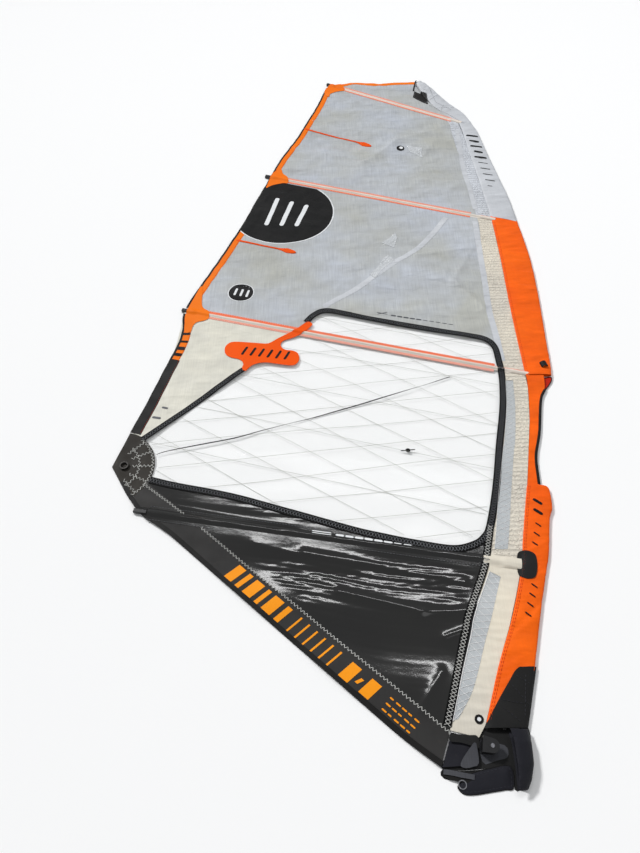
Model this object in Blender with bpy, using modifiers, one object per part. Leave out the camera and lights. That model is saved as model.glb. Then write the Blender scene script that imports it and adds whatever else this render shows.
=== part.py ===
"""Windsurf sail, unrigged and lying flat.

Five cloth sections fold about four battens. Row frame: +X towards the luff (mast side), +Y from
the tack to the head, +Z up from the surface that the sail lies on. All lengths are in metres.
"""
import math

import bmesh
import bpy
from mathutils import Vector

# Heights of the layers above the floor
AXIS_Z = 0.0075          # middle of the battens, the fold axes and the mast sleeve
PANEL = 0.0018           # thickness of a cloth or film panel
TAPE = 0.0012            # thickness of a tape that lies on the panels
LAYER_GAP = 0.0004       # clearance between pieces that touch
TAPE_Z = AXIS_Z + PANEL / 2 + LAYER_GAP + TAPE / 2

# The mast sleeve
SLEEVE_HALF = 0.0075     # half height of the flattened sleeve
SLEEVE_WALL = 0.0011
SLEEVE_SIDES = 16

# Battens, their pockets and their tensioners
POCKET_R = 0.0075
POCKET_BORE_R = 0.0047
BATTEN_R = 0.0037
TIP_R = 0.0068
TIP_LENGTH = 0.030
FOLD_MARGIN = 0.0108     # cloth starts this far from a fold axis
HOUSING = (0.046, 0.0155, 0.0126)
HOUSING_BORE_R = 0.0044
PLUG_R = 0.0038
PLUG_BORE_R = 0.0024
SCREW_HEAD_R = 0.0039
SCREW_R = 0.0020
SOCKET_R = 0.0026

# Stations along a batten, measured from the leech end towards the luff
HOUSING_START = -0.012
PLUG_START = 0.004
PLUG_END = 0.031
BATTEN_START = 0.040
POCKET_START = HOUSING_START + HOUSING[0] + LAYER_GAP

# Tack pulley block
SHEAVE_R = 0.0145
SHEAVE_WIDTH = 0.0072
SHEAVE_COUNT = 3
SHEAVE_GAP = 0.0005
PIN_R = 0.0035
PIN_BORE_R = 0.0038
CHEEK = 0.002
PIN_HEAD = 0.0018
BLOCK_AT = (0.350, -1.757)
BLOCK_HEADING = math.radians(-12)

# Clew ring and wrap-around tack cover
CLEW_RING_AT = (-0.797, -0.862)
CLEW_RING_R = 0.0165
CLEW_BORE_R = 0.0095
CLEW_RING_HIGH = 0.010
COVER_WALL = 0.004
FLAP_HINGE_X = 0.397

# Outline of the sail in plan, each line running from the head towards the tack
LEECH = [(-0.053, 1.826), (-0.088, 1.738), (-0.153, 1.503), (-0.206, 1.338), (-0.265, 1.174),
         (-0.329, 1.003), (-0.388, 0.800), (-0.435, 0.644), (-0.488, 0.468), (-0.547, 0.291),
         (-0.606, 0.138), (-0.680, -0.085), (-0.694, -0.318), (-0.759, -0.565),
         (-0.800, -0.7195)]
HEAD_EDGE = [(0.462, 1.8685), (0.324, 1.868), (0.229, 1.850), (0.112, 1.866), (0.018, 1.838)]
FOOT = [(-0.757, -0.993), (-0.700, -1.060), (-0.600, -1.130), (-0.400, -1.300),
        (-0.200, -1.470), (0.000, -1.640), (0.120, -1.740), (0.210, -1.805)]
FOOT_SEAM = [(-0.700, -0.930), (-0.560, -1.050), (-0.500, -1.105), (0.245, -1.722)]
BODY_SEAM = [(0.470, 1.800), (0.610, 1.400), (0.629, 0.974), (0.647, 0.500), (0.615, 0.100),
             (0.606, -0.050), (0.610, -0.300), (0.610, -0.480)]
SLEEVE_INNER = [(0.458, 1.845), (0.500, 1.700), (0.560, 1.560), (0.632, 1.452), (0.664, 1.405),
                (0.674, 1.320), (0.682, 1.126), (0.694, 0.915), (0.703, 0.720), (0.712, 0.525),
                (0.708, 0.250), (0.698, 0.000), (0.692, -0.250), (0.690, -0.460)]
SLEEVE_OUTER = [(0.500, 1.868), (0.571, 1.738), (0.641, 1.609), (0.706, 1.503), (0.744, 1.368),
                (0.758, 1.310), (0.776, 1.126), (0.800, 0.915), (0.824, 0.700), (0.833, 0.495),
                (0.8415, 0.250), (0.830, 0.000), (0.806, -0.294), (0.781, -0.480)]
STRIP_INNER = [(0.690, -0.400), (0.688, -0.506), (0.665, -0.659), (0.629, -0.824),
               (0.600, -0.951)]
STRIP_OUTER = [(0.760, -0.400), (0.752, -0.506), (0.724, -0.565), (0.688, -0.718),
               (0.653, -0.824), (0.642, -0.951)]
LOWER_INNER = [(0.600, -0.952), (0.548, -1.150), (0.530, -1.2325), (0.470, -1.400),
               (0.405, -1.545), (0.345, -1.700)]
LOWER_OUTER = [(0.674, -0.958), (0.625, -1.190), (0.607, -1.245), (0.558, -1.390),
               (0.510, -1.545), (0.458, -1.700)]

# Edge of the window film: its top, luff side, bottom and leech side, clockwise
WINDOW_TOP = [(-0.170, -0.155), (-0.125, -0.104), (-0.088, -0.092), (-0.006, -0.108),
              (0.135, -0.147), (0.300, -0.188), (0.500, -0.235), (0.568, -0.258),
              (0.594, -0.300)]
WINDOW_LUFF = [(0.596, -0.470), (0.571, -0.624), (0.529, -0.800), (0.488, -0.976),
               (0.450, -1.100)]
WINDOW_BOTTOM = [(0.400, -1.150), (0.320, -1.172), (0.100, -1.128), (0.000, -1.105),
                 (-0.200, -1.043), (-0.400, -0.985), (-0.600, -0.940)]
WINDOW_LEECH = [(-0.746, -0.746), (-0.406, -0.412), (-0.170, -0.155)]
LUFF_SEAM = [WINDOW_TOP[-1]] + WINDOW_LUFF + [(0.430, -1.190), (0.340, -1.460), (0.245, -1.715)]
WINDOW_TAPE = 0.026

# Clew patch: a fan around the corner, between the leech and the foot
CLEW = (-0.840, -0.866)
FAN_R = 0.1515
FAN_GAP = 0.0016         # the straight facets of the neighbours reach this far into the arc
FAN_LEECH_DEG = 74.7
FAN_WINDOW_DEG = 51.9
FAN_BOTTOM_DEG = -18.6
FAN_FOOT_DEG = -56.8

# Battens: leech end and luff end of each axis
BATTEN_LINES = {1: ((-0.058, 1.8363), (0.652, 1.4222)),
                2: ((-0.378, 0.8876), (0.694, 0.5434)),
                3: ((-0.681, -0.0868), (0.672, -0.4311)),
                4: ((-0.722, -1.0416), (0.512, -1.2297))}
BATTEN_NAMES = {1: "head", 2: "upper", 3: "middle", 4: "lower"}

COLOURS = {"ply": (0.60, 0.63, 0.66, 0.35), "white": (0.78, 0.80, 0.82, 0.6),
           "cream": (0.74, 0.72, 0.66, 0.7), "orange": (1.0, 0.16, 0.02, 0.6),
           "black": (0.02, 0.02, 0.02, 0.5), "film_black": (0.012, 0.012, 0.012, 0.25),
           "clear": (0.85, 0.88, 0.88, 0.1), "pocket": (0.85, 0.40, 0.30, 0.4),
           "steel": (0.6, 0.6, 0.62, 0.3), "plastic": (0.03, 0.03, 0.035, 0.5),
           "glass_fibre": (0.55, 0.50, 0.35, 0.4), "navy": (0.02, 0.022, 0.04, 0.8)}

PARTS = bpy.data.collections.new("windsurf_sail")
CUTTERS = bpy.data.collections.new("cutters")
MATERIALS = {}


def start():
    """Clear the scene and make the collections and the materials."""
    for thing in list(bpy.data.objects):
        bpy.data.objects.remove(thing)
    bpy.context.scene.collection.children.link(PARTS)
    bpy.context.scene.collection.children.link(CUTTERS)
    for name, (red, green, blue, rough) in COLOURS.items():
        material = bpy.data.materials.new(name)
        material.use_nodes = True
        shader = material.node_tree.nodes["Principled BSDF"]
        shader.inputs["Base Color"].default_value = (red, green, blue, 1)
        shader.inputs["Roughness"].default_value = rough
        shader.inputs["Metallic"].default_value = 1.0 if name == "steel" else 0.0
        MATERIALS[name] = material


def add_object(name, data, material, cutter=False):
    """Link new object data to the parts, or to the cutters."""
    thing = bpy.data.objects.new(name, data)
    if cutter:
        CUTTERS.objects.link(thing)
        thing.hide_render = True
        thing.display_type = "WIRE"
    else:
        PARTS.objects.link(thing)
        data.materials.append(MATERIALS[material])
    return thing


# Plan geometry

def along(start_point, end_point, distance):
    """Point at a distance from the start of a plan line."""
    direction = (Vector(end_point) - Vector(start_point)).normalized()
    return Vector(start_point) + direction * distance


def clip(line, number, above, closed=True):
    """Keep the part of a plan line above or below a batten, short of the fold margin."""
    leech_end, luff_end = (Vector(point) for point in BATTEN_LINES[number])
    across = (luff_end - leech_end).normalized().orthogonal()
    if (across.y > 0) != above:
        across = -across

    def depth(point):
        return (Vector(point) - leech_end).dot(across) - FOLD_MARGIN

    kept = []
    for index, here in enumerate(line):
        before = line[index - 1] if index or closed else here
        d_before, d_here = depth(before), depth(here)
        if (d_before > 0) != (d_here > 0):
            mix = d_before / (d_before - d_here)
            kept.append(tuple(Vector(before).lerp(Vector(here), mix)))
        if d_here > 0:
            kept.append(tuple(here))
    return kept


def shifted(line, distance):
    """Copy of an open plan line, moved sideways to its left by a distance."""
    points = [Vector(point) for point in line]
    moved = []
    for index, point in enumerate(points):
        ahead = points[min(index + 1, len(points) - 1)] - point
        behind = point - points[max(index - 1, 0)]
        if ahead.length == 0:
            ahead = behind
        if behind.length == 0:
            behind = ahead
        side = (ahead.normalized() + behind.normalized()).normalized()
        normal = Vector((-side.y, side.x))
        stretch = 1 / max(0.5, side.dot(ahead.normalized()))
        moved.append(tuple(point + normal * distance * stretch))
    return moved


def band(left, right):
    """Closed outline between two lines that both run from the head towards the tack."""
    return list(left) + list(reversed(right))


def arc(centre, radius, start_deg, end_deg, count):
    """Points on an arc, ends included."""
    points = []
    for index in range(count):
        angle = math.radians(start_deg + (end_deg - start_deg) * index / (count - 1))
        points.append((centre[0] + radius * math.cos(angle), centre[1] + radius * math.sin(angle)))
    return points


def circle(centre, radius, count):
    """Closed ring of points."""
    return arc(centre, radius, 0, 360 - 360 / count, count)


def fan(start_deg, end_deg, radius=FAN_R, count=7):
    """Points on the curved edge of the clew patch."""
    return arc(CLEW, radius, start_deg, end_deg, count)


def ribbon(line, width):
    """Closed outline of a tape that follows a line."""
    return band(shifted(line, width / 2), shifted(line, -width / 2))


def resampled(line, count):
    """The same open line, with evenly spaced points."""
    points = [Vector(point) for point in line]
    lengths = [0.0]
    for before, here in zip(points, points[1:]):
        lengths.append(lengths[-1] + (here - before).length)
    even = []
    for step in range(count):
        goal = lengths[-1] * step / (count - 1)
        index = max(i for i in range(len(points) - 1) if lengths[i] <= goal + 1e-9)
        mix = (goal - lengths[index]) / (lengths[index + 1] - lengths[index])
        even.append(tuple(points[index].lerp(points[index + 1], min(mix, 1))))
    return even


# Solids

def plate(name, outline, z, thickness, material, holes=()):
    """Flat piece with a plan outline, centred on a height."""
    curve = bpy.data.curves.new(name, "CURVE")
    curve.dimensions = "2D"
    curve.fill_mode = "BOTH"
    curve.extrude = thickness / 2
    for loop in (outline, *holes):
        spline = curve.splines.new("POLY")
        spline.points.add(len(loop) - 1)
        for point, (x, y) in zip(spline.points, loop):
            point.co = (x, y, 0, 1)
        spline.use_cyclic_u = True
    thing = add_object(name, curve, material)
    thing.location.z = z
    return thing


def mesh_of(thing):
    """Replace a curve object by a welded mesh object of the same name."""
    graph = bpy.context.evaluated_depsgraph_get()
    graph.update()
    name = thing.name
    mesh = bpy.data.meshes.new_from_object(thing.evaluated_get(graph))
    shape = bmesh.new()
    shape.from_mesh(mesh)
    bmesh.ops.remove_doubles(shape, verts=shape.verts, dist=0.00001)
    shape.to_mesh(mesh)
    shape.free()
    material = thing.data.materials[0].name
    placed = thing.matrix_world.copy()
    bpy.data.objects.remove(thing)
    mesh.materials.clear()
    made = add_object(name, mesh, material)
    made.matrix_world = placed
    return made


def turned(name, profile, material, steps=20, ring=False, cutter=False):
    """Body turned about its own Z: (radius, height) points, the outer side from top to bottom."""
    mesh = bpy.data.meshes.new(name)
    count = len(profile)
    edges = [(index, index + 1) for index in range(count - 1)]
    if ring:
        edges.append((count - 1, 0))
    mesh.from_pydata([(radius, 0, height) for radius, height in profile], edges, [])
    thing = add_object(name, mesh, material, cutter)
    screw = thing.modifiers.new("turn", "SCREW")
    screw.steps = steps
    screw.render_steps = steps
    screw.use_merge_vertices = True
    screw.merge_threshold = 0.00001
    screw.use_smooth_shade = False
    return thing


def lie_along(thing, start_point, end_point, distance, z=AXIS_Z):
    """Place a turned body with its Z along a plan line, its origin at a distance from the start."""
    direction = Vector(end_point) - Vector(start_point)
    place = along(start_point, end_point, distance)
    thing.location = (place.x, place.y, z)
    thing.rotation_euler = (0, math.pi / 2, math.atan2(direction.y, direction.x))
    return thing


def flat_tube(name, inner, outer, halves, material):
    """Flattened cloth tube between two plan lines, open at both ends."""
    shape = bmesh.new()
    rings = []
    for (x_in, y_in), (x_out, y_out), half in zip(inner, outer, halves):
        ring = []
        for index in range(SLEEVE_SIDES):
            angle = 2 * math.pi * index / SLEEVE_SIDES
            mix = 0.5 + 0.5 * math.cos(angle)
            lift = math.copysign(abs(math.sin(angle)) ** 0.6, math.sin(angle)) * half
            ring.append(shape.verts.new((x_in + (x_out - x_in) * mix,
                                         y_in + (y_out - y_in) * mix, half + lift)))
        rings.append(ring)
    for upper, lower in zip(rings, rings[1:]):
        for index in range(SLEEVE_SIDES):
            after = (index + 1) % SLEEVE_SIDES
            shape.faces.new((upper[index], upper[after], lower[after], lower[index]))
    mesh = bpy.data.meshes.new(name)
    shape.to_mesh(mesh)
    shape.free()
    thing = add_object(name, mesh, material)
    wall = thing.modifiers.new("wall", "SOLIDIFY")
    wall.thickness = SLEEVE_WALL
    wall.offset = -1
    return thing


def cut(target, cutter, operation="DIFFERENCE"):
    """Exact Boolean with a cutter."""
    boolean = target.modifiers.new("cut", "BOOLEAN")
    boolean.operation = operation
    boolean.solver = "EXACT"
    boolean.object = cutter


# Battens with their pockets and tensioners

def batten_set(number):
    """One batten, its pocket, and the tensioner housing, plug and screw at its leech end."""
    leech_end, luff_end = BATTEN_LINES[number]
    label = BATTEN_NAMES[number]
    length = (Vector(luff_end) - Vector(leech_end)).length
    rod_end = length - TIP_LENGTH
    pocket_end = rod_end - 0.004
    pocket = turned("batten_pocket_" + label,
                    [(POCKET_R, pocket_end), (POCKET_R, POCKET_START),
                     (POCKET_BORE_R, POCKET_START), (POCKET_BORE_R, pocket_end)],
                    "film_black" if number == 4 else "pocket", 20, ring=True)
    lie_along(pocket, leech_end, luff_end, 0)
    batten = turned("batten_" + label,
                    [(0, length), (TIP_R * 0.6, length), (TIP_R, length - 0.006), (TIP_R, rod_end),
                     (BATTEN_R * 0.85, rod_end), (BATTEN_R, BATTEN_START), (0, BATTEN_START)],
                    "glass_fibre", 18)
    lie_along(batten, leech_end, luff_end, 0)
    tensioner(label, leech_end, luff_end)


def tensioner(label, leech_end, luff_end):
    """Housing on the leech, with a captive screw that drives a plug along its bore."""
    long, wide, high = HOUSING
    mesh = bpy.data.meshes.new("tensioner_housing_" + label)
    shape = bmesh.new()
    bmesh.ops.create_cube(shape, size=1)
    bmesh.ops.scale(shape, vec=(high, wide, long), verts=shape.verts)
    shape.to_mesh(mesh)
    shape.free()
    housing = add_object(mesh.name, mesh, "plastic")
    lie_along(housing, leech_end, luff_end, HOUSING_START + long / 2)
    bevel = housing.modifiers.new("edges", "BEVEL")
    bevel.width = 0.0022
    bevel.segments = 2
    bore = turned("housing_bore_" + label, [(0, long), (HOUSING_BORE_R, long),
                                            (HOUSING_BORE_R, -long), (0, -long)],
                  None, 20, cutter=True)
    lie_along(bore, leech_end, luff_end, HOUSING_START + long / 2)
    cut(housing, bore)

    plug = turned("tensioner_plug_" + label,
                  [(0, PLUG_END), (PLUG_R - 0.001, PLUG_END), (PLUG_R, PLUG_END - 0.001),
                   (PLUG_R, PLUG_START), (PLUG_BORE_R, PLUG_START), (PLUG_BORE_R, 0.026),
                   (0, 0.026)],
                  "plastic", 18)
    lie_along(plug, leech_end, luff_end, 0)

    head_end, head_start, shank_end = -0.0095, -0.0035, 0.017
    screw = turned("tensioner_screw_" + label,
                   [(0, shank_end), (SCREW_R, shank_end), (SCREW_R, head_start),
                    (SCREW_HEAD_R, head_start), (SCREW_HEAD_R, head_end),
                    (SOCKET_R, head_end), (SOCKET_R, head_end + 0.004), (0, head_end + 0.004)],
                   "steel", 18)
    lie_along(screw, leech_end, luff_end, 0)


# Cloth, film and tape, from the head to the foot

def head_section():
    """Everything above the head batten."""
    inner, outer = sleeve_lines(SLEEVE_INNER, SLEEVE_OUTER, 7, None, 1)
    sleeve("head_sleeve", inner, outer, 0.0140, SLEEVE_HALF, "white")
    outline = [LEECH[0], (0.640, 1.380)] + list(reversed(shifted(inner, -LAYER_GAP)))
    plate("head_panel", clip(outline + HEAD_EDGE, 1, True), AXIS_Z, PANEL, "ply")
    strap = [(0.436, 1.765), (0.485, 1.722), (0.510, 1.640), (0.432, 1.690)]
    plate("head_strap", strap, TAPE_Z + 0.0009, 0.003, "black")
    cap = turned("head_cap", [(0, 0.024), (0.008, 0.024), (0.0105, 0.021), (0.0105, -0.018),
                              (0.009, -0.024), (0.0055, -0.024), (0.0055, -0.004), (0, -0.004)],
                 "plastic", 20)
    lie_along(cap, (0.5285, 1.738), (0.483, 1.846), 0.058, 0.0140)


def upper_section():
    """Between the head batten and the upper batten."""
    outline = band(LEECH[:9], BODY_SEAM[:4])
    plate("upper_panel", clip(clip(outline, 1, False), 2, True), AXIS_Z, PANEL, "ply")
    inner, outer = sleeve_lines(SLEEVE_INNER, SLEEVE_OUTER, 7, 1, 2)
    sleeve("upper_sleeve", inner, outer, SLEEVE_HALF, SLEEVE_HALF, "white")
    luff_panel("upper_luff_panel", BODY_SEAM[:5], inner, 1, 2)
    mini_batten("mini_batten_upper", (-0.196, 1.347), (0.135, 1.190))


def middle_section():
    """Between the upper batten and the middle batten, with the top of the window."""
    outline = LEECH[5:12] + [(-0.690, -0.280), (-0.345, -0.345)]
    outline += shifted([WINDOW_LEECH[1]] + WINDOW_TOP + WINDOW_LUFF[:1], LAYER_GAP)[1:]
    outline += list(reversed(BODY_SEAM[2:]))
    plate("middle_panel", clip(clip(outline, 2, False), 3, True), AXIS_Z, PANEL, "ply")
    film = [WINDOW_LEECH[1]] + WINDOW_TOP + WINDOW_LUFF[:1]
    plate("window_film_upper", clip(film, 3, True), AXIS_Z, PANEL, "clear")
    tape = ribbon(film, WINDOW_TAPE)
    plate("window_tape_upper", clip(tape, 3, True), TAPE_Z, TAPE, "black")
    inner, outer = sleeve_lines(SLEEVE_INNER, SLEEVE_OUTER, 8, 2, 3)
    sleeve("middle_sleeve", inner, outer, SLEEVE_HALF, SLEEVE_HALF, "orange")
    luff_panel("middle_luff_panel", BODY_SEAM[2:], inner, 2, 3)
    mini_batten("mini_batten_middle", (-0.496, 0.376), (-0.262, 0.306))
    grab_loop()


def window_section():
    """Between the middle batten and the lower batten: window, clew and boom cut-out."""
    film = [WINDOW_TOP[-1]] + WINDOW_LUFF + WINDOW_BOTTOM + fan(FAN_BOTTOM_DEG, FAN_WINDOW_DEG)
    film += WINDOW_LEECH + WINDOW_TOP[:-1]
    plate("window_film_lower", clip(film, 3, False), AXIS_Z, PANEL, "clear")
    tape = WINDOW_TOP[-1:] + WINDOW_LUFF + WINDOW_BOTTOM + [(-0.670, -0.922)]
    plate("window_tape_lower", clip(ribbon(tape, WINDOW_TAPE), 3, False), TAPE_Z, TAPE, "black")
    tape = [(-0.734, -0.734)] + WINDOW_LEECH[1:]
    plate("window_tape_leech", clip(ribbon(tape, WINDOW_TAPE), 3, False), TAPE_Z, TAPE, "black")
    rim = FAN_R + LAYER_GAP
    outline = LEECH[10:] + fan(FAN_LEECH_DEG, FAN_WINDOW_DEG + 0.2, rim)
    outline += shifted(WINDOW_LEECH, LAYER_GAP)
    plate("leech_panel", clip(outline, 3, False), AXIS_Z, PANEL, "ply")
    outline = shifted(WINDOW_LUFF[-1:] + WINDOW_BOTTOM, LAYER_GAP)[1:]
    outline += fan(FAN_BOTTOM_DEG - 0.2, FAN_FOOT_DEG, rim) + FOOT[:2]
    outline += [(-0.600, -1.200), LUFF_SEAM[-2], LUFF_SEAM[-3]]
    plate("clew_panel", clip(outline, 4, True), AXIS_Z, PANEL, "film_black")
    inner, outer = sleeve_lines(LOWER_INNER, LOWER_OUTER, 4, None, 4)
    sleeve("lower_sleeve", inner, outer, SLEEVE_HALF, SLEEVE_HALF, "orange")
    luff_panel("lower_luff_panel", LUFF_SEAM, STRIP_INNER + inner[1:], 3, 4)
    plate("cutout_strip", clip(band(STRIP_INNER, STRIP_OUTER), 3, False), AXIS_Z, 0.003, "orange")
    clew_corner()


def foot_section():
    """Below the lower batten, down to the foot and the tack."""
    outline = FOOT_SEAM[1:] + list(reversed(LUFF_SEAM[-4:]))
    plate("foot_panel", clip(outline, 4, False), AXIS_Z, PANEL, "film_black")
    outline = FOOT + list(reversed(shifted(FOOT_SEAM, -LAYER_GAP)))
    plate("foot_strip", clip(outline, 4, False), AXIS_Z, PANEL, "black")
    inner, outer = sleeve_lines(LOWER_INNER, LOWER_OUTER, 6, 4, None)
    sleeve("foot_sleeve", inner, outer, SLEEVE_HALF, 0.0125, "orange")
    outline = band(shifted(LUFF_SEAM[-4:], LAYER_GAP),
                   shifted(inner, -LAYER_GAP) + [(0.322, -1.733)])
    plate("foot_luff_panel", clip(outline, 4, False), AXIS_Z, PANEL, "cream")
    patch = [(0.2475, -1.7245), (0.318, -1.7400), (0.306, -1.800), (0.2135, -1.8055)]
    plate("tack_patch", patch, AXIS_Z, 0.004, "navy")


def luff_panel(name, left, right, upper, lower):
    """Strip of cloth between the body of the sail and the mast sleeve."""
    outline = band(shifted(left, LAYER_GAP), shifted(right, -LAYER_GAP))
    plate(name, clip(clip(outline, upper, False), lower, True), AXIS_Z, PANEL, "cream")


def sleeve_lines(inner, outer, count, upper, lower):
    """Inner and outer line of a length of mast sleeve between two battens, evenly divided."""
    lines = []
    for line in (inner, outer):
        if upper:
            line = clip(line, upper, False, False)
        if lower:
            line = clip(line, lower, True, False)
        lines.append(resampled(line, count))
    return lines


def sleeve(name, inner, outer, half_start, half_end, material):
    """Length of flattened mast sleeve."""
    last = len(inner) - 1
    halves = [half_start + (half_end - half_start) * step / last for step in range(last + 1)]
    flat_tube(name, inner, outer, halves, material)


def mini_batten(name, leech_end, tip):
    """Short tapered stick with a rounded end, in its patch on the cloth."""
    direction = Vector(tip) - Vector(leech_end)
    heading = math.degrees(math.atan2(direction.y, direction.x))
    side = direction.normalized().orthogonal()
    blunt = arc(tip, 0.013, heading - 110, heading + 110, 9)
    ends = [tuple(Vector(leech_end) + side * 0.007), tuple(Vector(leech_end) - side * 0.007)]
    if side.dot(Vector(blunt[0]) - Vector(tip)) > 0:
        blunt.reverse()
    plate(name, ends + blunt, TAPE_Z + 0.0008, 0.0028, "orange")


def grab_loop():
    """Webbing arch on the sleeve, just above the boom cut-out."""
    wide, high, thick, ramp = 0.044, 0.013, 0.0022, 0.012
    outline = [(0, 0), (ramp, high), (wide - ramp, high), (wide, 0), (wide - thick * 2, 0),
               (wide - ramp - thick, high - thick), (ramp + thick, high - thick), (thick * 2, 0)]
    loop = plate("grab_loop", outline, 0, 0.014, "black")
    loop.rotation_euler = (math.pi / 2, 0, math.radians(-74))
    loop.location = (0.762, -0.376, 2 * SLEEVE_HALF + LAYER_GAP)


# Clew

def clew_corner():
    """Clew patch with its pressed ring."""
    edge = fan(FAN_FOOT_DEG, FAN_LEECH_DEG, FAN_R - FAN_GAP, 12)
    outline = edge + [(-0.808, -0.753), CLEW, (-0.800, -0.929)]
    hole = circle(CLEW_RING_AT, CLEW_RING_R - 0.0035, 24)
    plate("clew_patch", outline, AXIS_Z, 0.003, "black", [hole])
    inner = CLEW_BORE_R
    waist = CLEW_RING_R - 0.004
    groove = 0.0019
    half = CLEW_RING_HIGH / 2
    ring = turned("clew_ring",
                  [(inner + 0.002, half), (CLEW_RING_R - 0.001, half), (CLEW_RING_R, half - 0.001),
                   (CLEW_RING_R, groove), (waist, groove), (waist, -groove),
                   (CLEW_RING_R, -groove), (CLEW_RING_R, 0.001 - half),
                   (CLEW_RING_R - 0.001, -half), (inner + 0.002, -half), (inner, 0.002 - half),
                   (inner, half - 0.002)], "steel", 28, ring=True)
    ring.location = (*CLEW_RING_AT, AXIS_Z)


# Tack pulley block and cover

def pulley_block():
    """Folded steel bracket with three rollers on one pin."""
    inner_high = SHEAVE_COUNT * SHEAVE_WIDTH + (SHEAVE_COUNT + 1) * SHEAVE_GAP
    base = PIN_HEAD + LAYER_GAP
    top = base + 2 * CHEEK + inner_high
    back, front = -0.026, 0.019
    profile = [(back, base), (front, base), (front, base + CHEEK), (back + CHEEK, base + CHEEK),
               (back + CHEEK, top - CHEEK), (front, top - CHEEK), (front, top), (back, top)]
    bracket = plate("pulley_bracket", profile, 0, 0.044, "steel")
    bracket.rotation_euler = (math.pi / 2, 0, BLOCK_HEADING)
    bracket.location = (*BLOCK_AT, 0)
    bpy.context.view_layer.update()
    bracket = mesh_of(bracket)
    shape = [(back - 0.002, -0.021), (back - 0.002, 0.021)] + arc((0, 0), 0.0185, 75, -75, 9)
    cheek_cutter = mesh_cutter("cheek_cutter", shape, top / 2, top + 0.010)
    cut(bracket, cheek_cutter, "INTERSECT")
    bore = turned("pin_bore", [(0, 0.05), (PIN_BORE_R, 0.05), (PIN_BORE_R, -0.01), (0, -0.01)],
                  None, 24, cutter=True)
    bore.location = (*BLOCK_AT, 0)
    cut(bracket, bore)
    pin_top = top + LAYER_GAP + PIN_HEAD
    pin = turned("pulley_pin", [(0, pin_top), (0.0052, pin_top), (0.0058, pin_top - 0.0006),
                                (0.0058, pin_top - PIN_HEAD), (PIN_R, pin_top - PIN_HEAD),
                                (PIN_R, PIN_HEAD), (0.0058, PIN_HEAD), (0.0058, 0), (0, 0)],
                 "steel", 24)
    pin.location = (*BLOCK_AT, 0)
    for index in range(SHEAVE_COUNT):
        low = base + CHEEK + SHEAVE_GAP + index * (SHEAVE_WIDTH + SHEAVE_GAP)
        half = SHEAVE_WIDTH / 2
        profile = [(SHEAVE_R - 0.0005, half), (SHEAVE_R, half - 0.0006), (0.0112, 0.0012),
                   (0.0112, -0.0012), (SHEAVE_R, 0.0006 - half), (SHEAVE_R - 0.0005, -half),
                   (PIN_BORE_R, -half), (PIN_BORE_R, half)]
        sheave = turned(f"pulley_roller_{index + 1}", profile, "plastic", 26, ring=True)
        sheave.location = (*BLOCK_AT, low + half)


def mesh_cutter(name, outline, z, thickness):
    """Prism used as a cutter, in the frame of the pulley block."""
    prism = mesh_of(plate(name, outline, z, thickness, "black"))
    prism.rotation_euler = (0, 0, BLOCK_HEADING)
    prism.location = (*BLOCK_AT, z)
    PARTS.objects.unlink(prism)
    CUTTERS.objects.link(prism)
    prism.hide_render = True
    prism.display_type = "WIRE"
    return prism


def tack_cover():
    """Padded cover around the foot of the mast, open towards the sail, with its flap and ring."""
    stations = [(-1.714, 0.410, 0.046, 0.016), (-1.750, 0.414, 0.044, 0.020),
                (-1.800, 0.413, 0.041, 0.0205), (-1.838, 0.4095, 0.032, 0.018),
                (-1.860, 0.4075, 0.022, 0.013)]
    shape = bmesh.new()
    rows = []
    for y, x, wide, high in stations:
        row = []
        for step in range(13):
            angle = math.radians(-100 + 200 * step / 12)
            row.append(shape.verts.new((x + wide * math.cos(angle), y,
                                        high * (1 + math.sin(angle)))))
        rows.append(row)
    for ahead, behind in zip(rows, rows[1:]):
        for step in range(12):
            shape.faces.new((ahead[step + 1], behind[step + 1], behind[step], ahead[step]))
    mesh = bpy.data.meshes.new("tack_cover")
    shape.to_mesh(mesh)
    shape.free()
    cover = add_object("tack_cover", mesh, "navy")
    wall = cover.modifiers.new("wall", "SOLIDIFY")
    wall.thickness = COVER_WALL
    wall.offset = -1

    low, high = -1.8685, -1.806
    flap = [(FLAP_HINGE_X - 0.001, low + 0.012), (0.330, low), (0.268, low), (0.247, -1.848),
            (0.214, -1.836), (0.212, high), (0.260, -1.812), (FLAP_HINGE_X - 0.001, high + 0.004)]
    plate("cover_flap", flap, COVER_WALL / 2, COVER_WALL, "navy")
    ring = turned("flap_ring", [(0.0115, 0.0011), (0.0115, -0.0011), (0.0090, -0.0011),
                                (0.0090, 0.0011)], "steel", 20, ring=True)
    ring.location = (0.262, -1.846, COVER_WALL + LAYER_GAP + 0.0011)


if __name__ == "__main__":
    start()
    for batten_number in BATTEN_LINES:
        batten_set(batten_number)
    head_section()
    upper_section()
    middle_section()
    window_section()
    foot_section()
    pulley_block()
    tack_cover()
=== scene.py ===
"""Looks of the windsurf sail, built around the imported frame. All lengths are in metres."""
import math

import bpy
import numpy as np
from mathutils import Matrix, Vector, geometry


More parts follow.
